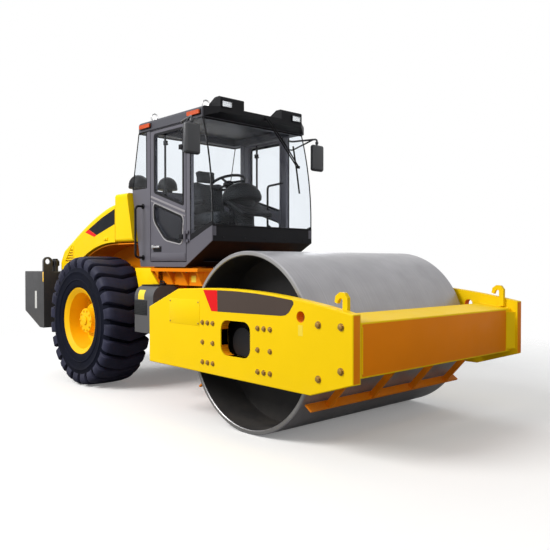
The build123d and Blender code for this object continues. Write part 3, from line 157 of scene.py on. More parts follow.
class NodeBench:
    """Adds and wires the nodes of one shader tree."""

    def __init__(self, tree: Tree) -> None:
        """Keep the tree that the nodes go into."""
        self.tree = tree

    def add(self, kind: str, **values: object) -> Node:
        """Add a node and set its own properties.

        Args:
            kind: Blender's name of the node type.
            values: properties of the node by name.

        Returns:
            The new node.
        """
        node = self.tree.nodes.new(kind)
        for name, value in values.items():
            setattr(node, name, value)
        return node

    def feed(self, node: Node, **sockets: object) -> Outputs:
        """Set or link a node's inputs.

        Args:
            node: the node to feed.
            sockets: a number, a colour or the socket to link from, each under the input's name
                with underscores for spaces, or under its number after an underscore.

        Returns:
            The node's outputs.
        """
        for name, value in sockets.items():
            socket = node.inputs[int(name[1:]) if name[0] == "_" else name.replace("_", " ")]
            if isinstance(value, Socket):
                self.tree.links.new(value, socket)
            else:
                socket.default_value = value
        return node.outputs

    def maths(self, operation: str, first: object, second: object, clamp: bool = False) -> Socket:
        """Join two values by one operation.

        Args:
            operation: name of the operation.
            first: number or output socket.
            second: number or output socket.
            clamp: hold the result between 0 and 1.

        Returns:
            The socket with the result.
        """
        node = self.add("ShaderNodeMath", operation=operation, use_clamp=clamp)
        return self.feed(node, _0=first, _1=second)[0]

    def spread(self, value: Socket, low: float, high: float, start: float, end: float) -> Socket:
        """Map a value from low..high to start..end, clamped."""
        return self.feed(self.add("ShaderNodeMapRange"), _0=value, _1=low, _2=high, _3=start, _4=end)[0]

    def blend(self, share: object, first: object, second: object) -> Socket:
        """Mix two colours by the share of the second."""
        return self.feed(self.add("ShaderNodeMix", data_type="RGBA"), _0=share, _6=first, _7=second)[2]

    def shade(self, colour: object, value: Socket) -> Socket:
        """Make a colour lighter or darker by a factor."""
        return self.feed(self.add("ShaderNodeHueSaturation"), Color=colour, Value=value)[0]

    def place(self) -> Socket:
        """Object coordinates."""
        return self.add("ShaderNodeTexCoord").outputs["Object"]

    def normal(self) -> Socket:
        """Direction that the surface faces."""
        return self.add("ShaderNodeNewGeometry").outputs["Normal"]

    def split(self, vector: Socket) -> Outputs:
        """Outputs X, Y and Z of a vector."""
        return self.feed(self.add("ShaderNodeSeparateXYZ"), Vector=vector)

    def noise(self, scale: object, detail: float) -> Socket:
        """Noise over the object, with values about one half."""
        return self.feed(self.add("ShaderNodeTexNoise"), Vector=self.place(), Scale=scale, Detail=detail)[0]

    def wave(self, direction: str, scale: object, distortion: float = 0.0) -> Socket:
        """Bands across the object.

        Args:
            direction: axis that the bands follow each other along.
            scale: number or socket.
            distortion: how much the bands waver.

        Returns:
            The socket with the height of the bands.
        """
        node = self.add("ShaderNodeTexWave", wave_type="BANDS", bands_direction=direction)
        return self.feed(node, Vector=self.place(), Scale=scale, Distortion=distortion)["Fac"]

    def bump(self, height: Socket, strength: float, distance: float, over: Optional[Socket] = None) -> Socket:
        """Raise the surface by a height.

        Args:
            height: socket with the height.
            strength: share of the height that shows.
            distance: height of the value 1.
            over: normal that the relief lies on.

        Returns:
            The socket with the new normal.
        """
        node = self.add("ShaderNodeBump")
        if over is not None:
            self.feed(node, Normal=over)
        return self.feed(node, Height=height, Strength=strength, Distance=distance)[0]

    def effect(self, tree: Tree, **sockets: object) -> Outputs:
        """Place one shared effect, feed it and hand over its outputs."""
        return self.feed(self.add("ShaderNodeGroup", node_tree=tree), **sockets)


class EffectGroup(NodeBench):
    """A shader node group that several finishes share."""

    def __init__(self, name: str, inputs: dict[str, object], outputs: Sequence[str]) -> None:
        """Open the group with its named sockets.

        Args:
            name: name of the group.
            inputs: default value of each input, a number or a colour.
            outputs: output names; those that hold the word Colour are colours.
        """
        super().__init__(bpy.data.node_groups.new(name, "ShaderNodeTree"))
        for label, value in inputs.items():
            kind = "NodeSocketFloat" if isinstance(value, float) else "NodeSocketColor"
            self.tree.interface.new_socket(label, in_out="INPUT", socket_type=kind).default_value = value
        for label in outputs:
            kind = "NodeSocketColor" if "Colour" in label else "NodeSocketFloat"
            self.tree.interface.new_socket(label, in_out="OUTPUT", socket_type=kind)
        self.given = self.add("NodeGroupInput").outputs
        self.result = self.add("NodeGroupOutput")

    def close(self, **results: Socket) -> Tree:
        """Join the results to the group's outputs and hand over its tree."""
        self.feed(self.result, **results)
        return self.tree


class Effects:
    """The shared effects: tone, grain, edge wear, dust and the surface patterns."""

    def __init__(self) -> None:
        """Build every group once."""
        self.tone = self._tone()
        self.grain = self._grain()
        self.wear = self._wear()
        self.dust = self._dust()
        self.patterns = {
            Pattern.RINGS: self._rings(),
            Pattern.WEAVE: self._weave(),
            Pattern.FLUTES: self._flutes(),
            Pattern.HOLES: self._holes(),
        }

    def _tone(self) -> Tree:
        """Colour that drifts lighter and darker over the surface.

        Returns:
            The group's tree.
        """
        group = EffectGroup("surface_tone", {"Colour": WHITE, "Scale": 2.5, "Amount": 0.05}, ["Colour"])
        drift = group.spread(group.noise(group.given["Scale"], 5.0), 0.3, 0.7, -1.0, 1.0)
        value = group.maths("ADD", group.maths("MULTIPLY", drift, group.given["Amount"]), 1.0)
        return group.close(Colour=group.shade(group.given["Colour"], value))

    def _grain(self) -> Tree:
        """Fine height grain, and roughness that varies in broad patches.

        Returns:
            The group's tree.
        """
        inputs = {"Scale": 350.0, "Roughness": 0.5, "Spread": 0.06}
        group = EffectGroup("fine_grain", inputs, ["Height", "Roughness"])
        patches = group.spread(group.noise(7.0, 6.0), 0.3, 0.7, -1.0, 1.0)
        change = group.maths("MULTIPLY", patches, group.given["Spread"])
        rough = group.maths("ADD", group.given["Roughness"], change, True)
        return group.close(Height=group.noise(group.given["Scale"], 3.0), Roughness=rough)

    def _wear(self) -> Tree:
        """Colour rubbed through to what lies under it along edges.

        Returns:
            The group's tree.
        """
        inputs = {"Colour": WHITE, "Bare Colour": WHITE, "Amount": 0.3, "Radius": 0.006}
        group = EffectGroup("edge_wear", inputs, ["Colour", "Mask"])
        rounded = group.feed(group.add("ShaderNodeBevel", samples=4), Radius=group.given["Radius"])[0]
        turn = group.add("ShaderNodeVectorMath", operation="DOT_PRODUCT")
        edge = group.spread(group.feed(turn, _0=rounded, _1=group.normal())["Value"], 0.97, 0.8, 0.0, 1.0)
        patch = group.spread(group.noise(24.0, 6.0), 0.48, 0.66, 0.0, 1.0)
        mask = group.maths("MULTIPLY", group.maths("MULTIPLY", edge, patch), group.given["Amount"], True)
        colour = group.blend(mask, group.given["Colour"], group.given["Bare Colour"])
        return group.close(Colour=colour, Mask=mask)

    def _dust(self) -> Tree:
        """Dust that settles low down and on what faces up.

        Returns:
            The group's tree.
        """
        inputs = {"Colour": WHITE, "Dust Colour": WHITE, "Amount": 0.3, "Height": 0.6}
        group = EffectGroup("settled_dust", inputs, ["Colour", "Mask"])
        depth = group.maths("DIVIDE", group.split(group.place())["Z"], group.given["Height"])
        low = group.spread(depth, 0.0, 1.0, 1.0, 0.0)
        top = group.spread(group.split(group.normal())["Z"], 0.5, 1.0, 0.0, 0.35)
        patch = group.spread(group.noise(5.0, 8.0), 0.35, 0.7, 0.1, 1.0)
        cover = group.maths("MULTIPLY", group.maths("ADD", low, top, True), patch)
        mask = group.maths("MULTIPLY", cover, group.given["Amount"], True)
        colour = group.blend(mask, group.given["Colour"], group.given["Dust Colour"])
        return group.close(Colour=colour, Mask=mask)

    def _rings(self) -> Tree:
        """Fine scuffs that run round the drum.

        Returns:
            The group's tree.
        """
        group = EffectGroup("rolling_scuffs", {"Scale": 60.0}, ["Height"])
        across = group.maths("MULTIPLY", group.split(group.place())["Y"], group.given["Scale"])
        lines = group.add("ShaderNodeTexNoise", noise_dimensions="1D")
        scuffs = group.feed(lines, W=across, Scale=1.0, Detail=8.0)[0]
        patch = group.spread(group.noise(3.0, 5.0), 0.3, 0.7, 0.2, 1.0)
        return group.close(Height=group.maths("MULTIPLY", scuffs, patch))

    def _weave(self) -> Tree:
        """Over and under threads of a woven cover.

        Returns:
            The group's tree.
        """
        group = EffectGroup("cover_weave", {"Scale": 260.0}, ["Height"])
        first, second, third = (group.wave(axis, group.given["Scale"], 0.6) for axis in "XZY")
        return group.close(Height=group.maths("MAXIMUM", group.maths("MAXIMUM", first, second), third))

    def _flutes(self) -> Tree:
        """Moulded flutes across a lens.

        Returns:
            The group's tree.
        """
        group = EffectGroup("lens_flutes", {"Scale": 40.0}, ["Height"])
        return group.close(Height=group.wave("DIAGONAL", group.given["Scale"]))

    def _holes(self) -> Tree:
        """Rows of punched holes in a sheet.

        Returns:
            The group's tree.
        """
        group = EffectGroup("punched_rows", {"Scale": 70.0}, ["Height"])
        cells = group.add("ShaderNodeTexVoronoi", feature="F1")
        away = group.feed(cells, Vector=group.place(), Scale=group.given["Scale"], Randomness=0.0)["Distance"]
        return group.close(Height=group.spread(away, 0.25, 0.4, 0.0, 1.0))


EFFECTS = Effects()


@dataclass(frozen=True)
class Finish:
    """A painted, moulded, cast or bare surface, with the record's slot that it belongs to."""

    name: str
    colour: Colour
    roughness: float = 0.5
    slot: str = ""
    metallic: float = 0.0
    coat: float = 0.0
    coat_roughness: float = 0.12
    gloss: float = 0.3
    tone: float = 0.04
    tone_scale: float = 1.6
    grain: float = 0.04
    grain_scale: float = 350.0
    grain_height: float = 0.002
    uneven: float = 0.06
    wear: float = 0.0
    bare: Colour = (0.3, 0.29, 0.28)
    dust: float = 0.0
    dust_height: float = 0.6
    dust_colour: Colour = (0.36, 0.31, 0.25)
    dust_roughness: float = 0.4
    pattern: Pattern = Pattern.NONE
    pattern_scale: float = 60.0
    pattern_depth: float = 0.2
    pattern_height: float = 0.003
    # Colour factors for the relief's low and high parts: painted shade and painted highlight.
    pattern_shade: Flat = (0.72, 1.12)

    def material(self) -> bpy.types.Material:
        """Build the finish's material on its first use.

        Returns:
            The material.
        """
        made = bpy.data.materials.get(self.name)
        if made is None:
            made = bpy.data.materials.new(self.name)
            made.use_nodes = True
            made.diffuse_color = (*self.colour, 1.0)
            self.wire(NodeBench(made.node_tree), made.node_tree.nodes["Principled BSDF"])
        return made

    def skin(self, bench: NodeBench) -> tuple[Socket, Socket, Socket]:
        """Place the effects that every finish has.

        Args:
            bench: bench of the material's tree.

        Returns:
            The sockets of colour, roughness and height.
        """
        tone = bench.effect(EFFECTS.tone, Colour=(*self.colour, 1.0), Scale=self.tone_scale, Amount=self.tone)
        grain = bench.effect(
            EFFECTS.grain, Scale=self.grain_scale, Roughness=self.roughness, Spread=self.uneven
        )
        return tone["Colour"], grain["Roughness"], grain["Height"]

    def relief(self, bench: NodeBench) -> Socket:
        """Height of the finish's own pattern."""
        return bench.effect(EFFECTS.patterns[self.pattern], Scale=self.pattern_scale)["Height"]

    def wire(self, bench: NodeBench, shader: Node) -> None:
        """Join the effects to the shader.

        Args:
            bench: bench of the material's tree.
            shader: the material's Principled shader.
        """
        colour, rough, height = self.skin(bench)
        if self.wear:
            bare = (*self.bare, 1.0)
            colour = bench.effect(EFFECTS.wear, Colour=colour, Bare_Colour=bare, Amount=self.wear)["Colour"]
        if self.dust:
            dusty = bench.effect(
                EFFECTS.dust, Colour=colour, Dust_Colour=(*self.dust_colour, 1.0),
                Amount=self.dust, Height=self.dust_height,
            )
            colour = dusty["Colour"]
            rough = bench.maths("ADD", rough, bench.maths("MULTIPLY", dusty["Mask"], self.dust_roughness), True)
        normal = bench.bump(height, self.grain, self.grain_height)
        if self.pattern is not Pattern.NONE:
            relief = self.relief(bench)
            normal = bench.bump(relief, self.pattern_depth, self.pattern_height, normal)
            # Colour follows the relief: low parts painted darker as shade, high parts lighter as highlight; on the drum
            # the change also marks its scuffs.
            colour = bench.shade(colour, bench.spread(relief, 0.0, 1.0, *self.pattern_shade))
        bench.feed(shader, Base_Color=colour, Roughness=rough, Normal=normal, Metallic=self.metallic)
        bench.feed(
            shader, Specular_IOR_Level=self.gloss, Coat_Weight=self.coat, Coat_Roughness=self.coat_roughness
        )


@dataclass(frozen=True)
class GlassFinish(Finish):
    """Clear glass or a clear lens: light passes through it, and it throws only a light shadow."""

    bend: float = 1.45
    tint: Colour = (0.9, 0.96, 0.98)

    def wire(self, bench: NodeBench, shader: Node) -> None:
        """Join the glass shader to the surface, with see-through shadows.

        Args:
            bench: bench of the material's tree.
            shader: the material's Principled shader.
        """
        colour, rough, _ = self.skin(bench)
        bench.feed(shader, Base_Color=colour, Roughness=rough, Transmission_Weight=1.0, IOR=self.bend)
        if self.pattern is not Pattern.NONE:
            normal = bench.bump(self.relief(bench), self.pattern_depth, self.pattern_height)
            bench.feed(shader, Normal=normal)
        clear = bench.feed(bench.add("ShaderNodeBsdfTransparent"), Color=(*self.tint, 1.0))[0]
        shadow = bench.add("ShaderNodeLightPath").outputs["Is Shadow Ray"]
        either = bench.feed(bench.add("ShaderNodeMixShader"), _0=shadow, _1=shader.outputs[0], _2=clear)[0]
        bench.feed(bench.tree.nodes["Material Output"], Surface=either)


YELLOW = Finish(
    "yellow_enamel", (0.93, 0.62, 0.002), 0.45, "yellow_paint",
    gloss=0.1, tone=0.03, grain=0.03, wear=0.35, bare=(0.45, 0.3, 0.1), dust=0.12,
)
# Darker, redder copy of the yellow enamel: painted shade on yellow parts and faces that lie in shade (front faces,
# recesses, undersides, wheel arches).
PAINTED_SHADE_ORANGE = Finish(
    "orange_enamel", (0.85, 0.24, 0.002), 0.48, "shaded_paint",
    gloss=0.1, tone=0.05, wear=0.4, bare=(0.4, 0.2, 0.08), dust=0.12,
)
RIM_PAINT = Finish(
    "wheel_enamel", (0.98, 0.55, 0.004), 0.42, "shaded_paint",
    gloss=0.15, tone=0.05, wear=0.5, bare=(0.42, 0.22, 0.06), dust=0.1,
)
CAB_GREY = Finish(
    "cab_enamel", (0.1, 0.097, 0.12), 0.4, "cab_paint",
    coat=0.08, tone=0.06, grain=0.03, wear=0.5, bare=(0.24, 0.23, 0.25), dust=0.05, dust_height=1.2,
)
# Lighter copy of the cab paint: painted highlight along the door pressings.
CAB_HIGHLIGHT = Finish("cab_edge_trim", (0.24, 0.23, 0.25), 0.34, "cab_paint", coat=0.2, tone=0.05)
# Pale, part-metal copy of the cab paint: painted highlight round the lower pane.
PANE_RIM_HIGHLIGHT = Finish("pane_bead", (0.5, 0.49, 0.5), 0.3, "cab_paint", metallic=0.4)
BLACK_PAINT = Finish(
    "black_enamel", (0.006, 0.006, 0.008), 0.4, "black_paint",
    gloss=0.2, tone=0.15, wear=0.45, bare=(0.1, 0.1, 0.1), dust=0.16, dust_height=0.9,
)
WEIGHT_PAINT = Finish(
    "casting_enamel", (0.055, 0.055, 0.058), 0.45, "black_paint",
    tone=0.12, grain=0.12, grain_scale=160.0, wear=0.5, bare=(0.16, 0.16, 0.16), dust=0.15, dust_height=1.0,
)
MIRROR_SHELL = Finish(
    "mirror_moulding", (0.035, 0.037, 0.043), 0.34, "black_plastic",
    gloss=0.5, tone=0.08, grain=0.08, grain_scale=900.0,
)
BLACK_PLASTIC = Finish(
    "black_moulding", (0.005, 0.005, 0.007), 0.5, "black_plastic",
    gloss=0.16, tone=0.12, grain=0.14, grain_scale=900.0, dust=0.08, dust_height=1.0,
)
TANK_PLASTIC = Finish(
    "tank_moulding", (0.085, 0.085, 0.09), 0.5, "tank_paint",
    tone=0.1, grain=0.15, grain_scale=700.0, dust=0.2, dust_height=1.0,
)
ROOF_PLASTIC = Finish(
    "roof_moulding", (0.06, 0.061, 0.075), 0.5, "roof_plastic",
    tone=0.07, grain=0.12, grain_scale=800.0, dust=0.06,
)
# Near-black sheet inside the drum: painted shade, with dust over it.
DRUM_SHADE = Finish(
    "drum_lining", (0.03, 0.029, 0.03), 0.6, "drum_steel",
    tone=0.12, grain=0.15, grain_scale=140.0, dust=0.1, dust_height=0.3,
)
DRUM_STEEL = Finish(
    "rolled_steel", (0.42, 0.415, 0.44), 0.36, "drum_steel",
    metallic=0.55, tone=0.05, grain=0.05, grain_scale=160.0, dust=0.12, dust_height=0.5,
    pattern=Pattern.RINGS, pattern_scale=70.0, pattern_depth=0.07,
)
BARE_STEEL = Finish(
    "machined_steel", (0.36, 0.355, 0.35), 0.35, "bare_steel", metallic=0.9, tone=0.08, grain=0.06
)
ZINC = Finish("plated_bolts", (0.4, 0.24, 0.06), 0.4, "bare_steel", metallic=0.55, tone=0.15, grain=0.05)
CHROME = Finish("polished_rod", (0.75, 0.75, 0.76), 0.14, "rod_chrome", metallic=1.0, tone=0.03, grain=0.01)
IRON = Finish(
    "painted_casting", (0.08, 0.08, 0.088), 0.55, "engine_iron",
    tone=0.12, grain=0.25, grain_scale=140.0, wear=0.3,
)
RUBBER = Finish(
    "buffer_rubber_skin", (0.014, 0.014, 0.016), 0.7, "buffer_rubber",
    tone=0.12, grain=0.15, grain_scale=300.0,
)
TYRE = Finish(
    "tyre_rubber_skin", (0.004, 0.005, 0.012), 0.7, "tyre_rubber",
    gloss=0.08, tone=0.2, tone_scale=6.0, grain=0.2, grain_scale=260.0,
    wear=0.7, bare=(0.028, 0.032, 0.05), dust=0.03, dust_height=0.3,
)
LUG = Finish(
    "worn_lug_rubber", (0.018, 0.019, 0.04), 0.62, "tyre_rubber",
    gloss=0.22, tone=0.25, tone_scale=5.0, grain=0.2, grain_scale=260.0,
    wear=0.7, bare=(0.034, 0.034, 0.056), dust=0.03, dust_height=0.3,
)
SEAT_CLOTH = Finish(
    "seat_cloth", (0.02, 0.021, 0.026), 0.85, "seat_cover",
    tone=0.15, grain=0.1, pattern=Pattern.WEAVE, pattern_scale=260.0, pattern_depth=0.35,
)
BAND_DARK = Finish(
    "band_film_dark", (0.075, 0.055, 0.046), 0.42,
    gloss=0.12, tone=0.1, grain=0.02, wear=0.2, bare=(0.2, 0.18, 0.15),
)
BAND_RED = Finish("band_film_red", (0.78, 0.012, 0.014), 0.45, gloss=0.1, tone=0.05, grain=0.02)
HOOD_BLACK = Finish("hood_film_black", (0.009, 0.01, 0.013), 0.5, gloss=0.08, tone=0.1, grain=0.02)
PALE_LABEL = Finish("pale_label", (0.62, 0.62, 0.6), 0.45, tone=0.05)
YELLOW_LABEL = Finish("yellow_label", (0.9, 0.68, 0.05), 0.4, tone=0.05)
REFLECTOR = Finish(
    "reflector_film", (0.95, 0.55, 0.03), 0.25,
    coat=0.5, tone=0.05, pattern=Pattern.FLUTES, pattern_scale=120.0,
)
MESH_SHEET = Finish(
    "punched_sheet", (0.75, 0.5, 0.1), 0.5, "yellow_paint",
    tone=0.08, pattern=Pattern.HOLES, pattern_scale=75.0, pattern_depth=0.6,
)
VENT_BLACK = Finish("vent_panel", (0.012, 0.013, 0.014), 0.5, "black_plastic", tone=0.1, grain=0.1)
SILVER = Finish("silver_handle", (0.55, 0.55, 0.56), 0.28, "bare_steel", metallic=0.9, tone=0.05)
MIRROR_FACE = Finish(
    "mirror_face", (0.8, 0.82, 0.84), 0.05, "rod_chrome", metallic=1.0, tone=0.02, grain=0.0
)
GLASS = GlassFinish(
    "cab_glazing", (0.92, 0.945, 0.97), 0.02, "clear_glass", uneven=0.015, tone=0.02, bend=1.16
)
LENS = GlassFinish(
    "lamp_lens_clear", (0.95, 0.97, 1.0), 0.05, "lamp_lens",
    uneven=0.02, pattern=Pattern.FLUTES, pattern_depth=0.5,
)
REFLECT_BOWL = Finish("lamp_bowl", (0.88, 0.89, 0.9), 0.16, metallic=0.9)
AMBER = Finish(
    "amber_lens_moulding", (0.62, 0.075, 0.006), 0.35, "amber_lens",
    gloss=0.15, tone=0.08, pattern=Pattern.FLUTES, pattern_scale=70.0, pattern_depth=0.4,
)
TAIL_RED = Finish(
    "tail_lens_moulding", (0.6, 0.012, 0.012), 0.22,
    coat=0.6, tone=0.08, pattern=Pattern.FLUTES, pattern_scale=70.0, pattern_depth=0.4,
)

SLOT_FINISH: dict[str, Finish] = {
    finish.slot: finish
    for finish in (
        YELLOW, PAINTED_SHADE_ORANGE, CAB_GREY, BLACK_PAINT, TANK_PLASTIC, ROOF_PLASTIC, BLACK_PLASTIC, DRUM_STEEL, BARE_STEEL,
        CHROME, IRON, RUBBER, TYRE, SEAT_CLOTH, GLASS, LENS, AMBER,
    )
}
NODE_FINISH: dict[str, Finish] = {
    "rear_crossbeam": PAINTED_SHADE_ORANGE,
    "rim_left": RIM_PAINT,
    "rim_right": RIM_PAINT,
    "counterweight": WEIGHT_PAINT,
}


class Form:
    """A mesh in the making, shaped by bmesh operators. Its shapes hand the form on to the next."""

    def __init__(self) -> None:
        """Start from an empty mesh."""
        self.bm = bmesh.new()

    def bevel(
        self, geom: Iterable[BMEdge | BMVert], width: float, steps: int, affect: str = "EDGES"
    ) -> list[BMVert]:
        """Round some edges or corners.

        Args:
            geom: the edges, or the corners' vertices.
            width: width of the rounding.
            steps: segments across it.
            affect: EDGES or VERTICES.

        Returns:
            The vertices of the rounding.
        """
        return bmesh.ops.bevel(
            self.bm, geom=list(geom), offset=width, segments=steps, profile=0.5,
            affect=affect, material=-1, clamp_overlap=True,
        )["verts"]

    def soften(self, verts: Iterable[BMVert], width: float, steps: int) -> "Form":
        """Round every edge that meets some vertices.

        Args:
            verts: vertices of one solid.
            width: width of the rounding, or 0 for none.
            steps: segments across it.

        Returns:
            This form.
        """
        if width > 0.0:
            self.bevel({edge for vert in verts for edge in vert.link_edges}, width, steps)
        return self

    def outline(self, corners: Sequence[Flat], sheet: Sheet, level: float, rounding: float) -> BMFace:
        """A flat face.

        Args:
            corners: its corners in the sheet's two axes.
            sheet: plane of the face.
            level: its place along the third axis.
            rounding: rounding of the corners.

        Returns:
            The face.
        """
        first, second, third = sheet.value
        verts = []
        for a, b in corners:
            spot = Vector()
            spot[first], spot[second], spot[third] = a, b, level
            verts.append(self.bm.verts.new(spot))
        face = self.bm.faces.new(verts)
        if rounding > 0.0:
            face = self.bevel(verts, rounding, 6, "VERTICES")[0].link_faces[0]
        return face

    def push(self, faces: Sequence[BMFace], sheet: Sheet, depth: float) -> list[BMVert]:
        """Push flat faces into a solid.

        Args:
            faces: the faces.
            sheet: their plane.
            depth: distance along the third axis.

        Returns:
            The vertices at the far end.
        """
        grown = bmesh.ops.extrude_face_region(self.bm, geom=faces)["geom"]
        moved = [item for item in grown if isinstance(item, BMVert)]
        way = Vector()
        way[sheet.value[2]] = depth
        bmesh.ops.translate(self.bm, verts=moved, vec=way)
        return moved

    def slab(
        self, corners: Sequence[Flat], sheet: Sheet, low: float, high: float, bevel: float = 0.0, corner: float = 0.0
    ) -> "Form":
        """A flat outline pushed into a solid.

        Args:
            corners: corners of the outline in the sheet's two axes.
            sheet: plane of the outline.
            low: start along the third axis.
            high: end along the third axis.
            bevel: rounding of all edges.
            corner: rounding of the outline's corners.

        Returns:
            This form.
        """
        base = self.outline(corners, sheet, low, corner)
        moved = self.push([base], sheet, high - low)
        return self.soften(moved + list(base.verts), bevel, 2)

    def film(self, corners: Sequence[Flat], y: float, thickness: float = FILM) -> "Form":
        """A thin sheet on a side face at y."""
        return self.slab(corners, Sheet.SIDE, y, y + thickness)

    def ring(
        self, corners: Sequence[Flat], sheet: Sheet, low: float, high: float, width: float, corner: float
    ) -> "Form":
        """A flat band inside an outline.

        Args:
            corners: outer corners in the sheet's two axes.
            sheet: plane of the outline.
            low: start along the third axis.
            high: end along the third axis.
            width: width of the band.
            corner: rounding of the outer corners.

        Returns:
            This form.
        """
        pane = self.outline(corners, sheet, low, corner)
        band = bmesh.ops.inset_region(
            self.bm, faces=[pane], thickness=width, use_boundary=True, use_even_offset=True
        )["faces"]
        bmesh.ops.delete(self.bm, geom=[pane], context="FACES_ONLY")
        self.push(band, sheet, high - low)
        return self

    def block(
        self, centre: Spot, size: Spot, bevel: float = 0.004, steps: int = 2, turn: Optional[Matrix] = None
    ) -> "Form":
        """A box with rounded edges.

        Args:
            centre: middle of the box.
            size: lengths along its three axes.
            bevel: width of the rounding.
            steps: segments across it.
            turn: rotation of the box.

        Returns:
            This form.
        """
        turned = turn.to_4x4() if turn else Matrix.Identity(4)
        place = Matrix.Translation(centre) @ turned @ Matrix.Diagonal((*size, 1.0))
        return self.soften(bmesh.ops.create_cube(self.bm, size=1.0, matrix=place)["verts"], bevel, steps)

    def rod(
        self, start: Spot, end: Spot, radius: float, sides: int = 20, far: Optional[float] = None, bevel: float = 0.0
    ) -> "Form":
        """A round or many-sided bar between two points.

        Args:
            start: middle of the first end.
            end: middle of the second end.
            radius: radius at the start.
            sides: number of sides.
            far: radius at the end, when it differs.
            bevel: rounding of the end edges.

        Returns:
            This form.
        """
        run = Vector(end) - Vector(start)
        turn = run.to_track_quat("Z", "Y").to_matrix().to_4x4()
        made = bmesh.ops.create_cone(
            self.bm, cap_ends=True, segments=sides, radius1=radius, radius2=radius if far is None else far,
            depth=run.length, matrix=Matrix.Translation((Vector(start) + Vector(end)) / 2) @ turn,
        )["verts"]
        if bevel > 0.0:
            edges = {edge for vert in made for edge in vert.link_edges}
            ends = [edge for edge in edges if any(len(face.verts) == sides for face in edge.link_faces)]
            self.bevel(ends, bevel, 2)
        return self

    def bolt(self, spot: Spot, outward: Spot, radius: float, washer: bool = True) -> "Form":
        """A hexagon head on a washer.

        Args:
            spot: where the bolt meets the surface.
            outward: direction the head stands up in.
            radius: corner radius of the head.
            washer: put a washer under the head.

        Returns:
            This form.
        """
        base, axis = Vector(spot), Vector(outward).normalized()
        if washer:
            self.rod(base - axis * 0.001, base + axis * radius * 0.22, radius * 1.3, 18)
        return self.rod(base, base + axis * radius * 0.85, radius, 6, radius * 0.97, bevel=radius * 0.12)

    def lathe(self, profile: Sequence[Flat], centre: Spot, axis: Spot, steps: int = 48) -> "Form":
        """A profile spun round an axis.

        Args:
            profile: pairs of distance along the axis and radius.
            centre: point on the axis that distances count from.
            axis: direction of the axis.
            steps: steps in a full turn.

        Returns:
            This form.
        """
        way = Vector(axis).normalized()
        out = way.orthogonal().normalized()
        verts = [
            self.bm.verts.new(Vector(centre) + way * along + out * max(radius, 1e-5)) for along, radius in profile
        ]
        edges = [self.bm.edges.new(pair) for pair in zip(verts, verts[1:])]
        bmesh.ops.spin(
            self.bm, geom=verts + edges, cent=centre, axis=way, angle=math.tau, steps=steps, use_merge=True
        )
        bmesh.ops.remove_doubles(self.bm, verts=self.bm.verts[:], dist=2e-5)
        return self

    def tube(
        self, points: Sequence[Spot], radius: float, bend: float = 0.03, closed: bool = False, fine: int = 3
    ) -> "Form":
        """A bent tube or bead along a route with rounded corners.

        Args:
            points: corners of the route.
            radius: radius of the tube.
            bend: distance from a corner at which its bend begins.
            closed: join the last point to the first.
            fine: fineness of the round section.

        Returns:
            This form.
        """
        route = [Vector(point) for point in points]
        controls: list[Vector] = []
        count = len(route)
        for index, corner in enumerate(route):
            if not closed and index in (0, count - 1):
                controls.append(corner)
                continue
            before, after = route[index - 1] - corner, route[(index + 1) % count] - corner
            controls.append(corner + before.normalized() * min(bend * 2, before.length * 0.49))
            controls.append(corner)
            controls.append(corner + after.normalized() * min(bend * 2, after.length * 0.49))
        curve = bpy.data.curves.new("route", "CURVE")
        curve.dimensions, curve.resolution_u = "3D", 5
        curve.bevel_depth, curve.bevel_resolution, curve.use_fill_caps = radius, fine, True
        spline = curve.splines.new("NURBS")
        spline.points.add(len(controls) - 1)
        for spot, control in zip(spline.points, controls):
            spot.co = (*control, 1.0)
        spline.use_cyclic_u, spline.use_endpoint_u = closed, not closed
        spline.order_u = 3
        holder = bpy.data.objects.new("route", curve)
        mesh = bpy.data.meshes.new_from_object(holder)
        self.bm.from_mesh(mesh)
        bpy.data.objects.remove(holder)
        bpy.data.curves.remove(curve)
        bpy.data.meshes.remove(mesh)
        return self

    def mirrored(self) -> "Form":
        """Add the same shape on the machine's other side.

        Returns:
            This form.
        """
        whole = self.bm.verts[:] + self.bm.edges[:] + self.bm.faces[:]
        copy = bmesh.ops.duplicate(self.bm, geom=whole)["geom"]
        twins = [item for item in copy if isinstance(item, BMVert)]
        bmesh.ops.scale(self.bm, vec=(1.0, -1.0, 1.0), verts=twins)
        bmesh.ops.reverse_faces(self.bm, faces=[item for item in copy if isinstance(item, BMFace)])
        return self

    def piece(self, name: str, finish: Finish, body: str, keen: float = 32.0) -> bpy.types.Object:
        """Close the mesh and put the piece on its body, in its finish.

        Args:
            name: name of the piece.
            finish: its finish.
            body: body that it rides on.
            keen: angle in degrees past which an edge stays sharp.

        Returns:
            The finished object.
        """
        bmesh.ops.remove_doubles(self.bm, verts=self.bm.verts[:], dist=2e-6)
        bmesh.ops.recalc_face_normals(self.bm, faces=self.bm.faces[:])
        mesh = bpy.data.meshes.new(name)
        self.bm.to_mesh(mesh)
        self.bm.free()
        mesh.polygons.foreach_set("use_smooth", [True] * len(mesh.polygons))
        mesh.set_sharp_from_angle(angle=math.radians(keen))
        mesh.materials.append(finish.material())
        made = placed(name, mesh)
        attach(made, body)
        LOG.info("%s: %d faces on %s", name, len(mesh.polygons), body)
        return made

    def pair(self, name: str, finish: Finish, body: str) -> bpy.types.Object:
        """Close the mesh as one piece for both sides of the machine."""
        return self.mirrored().piece(name, finish, body)


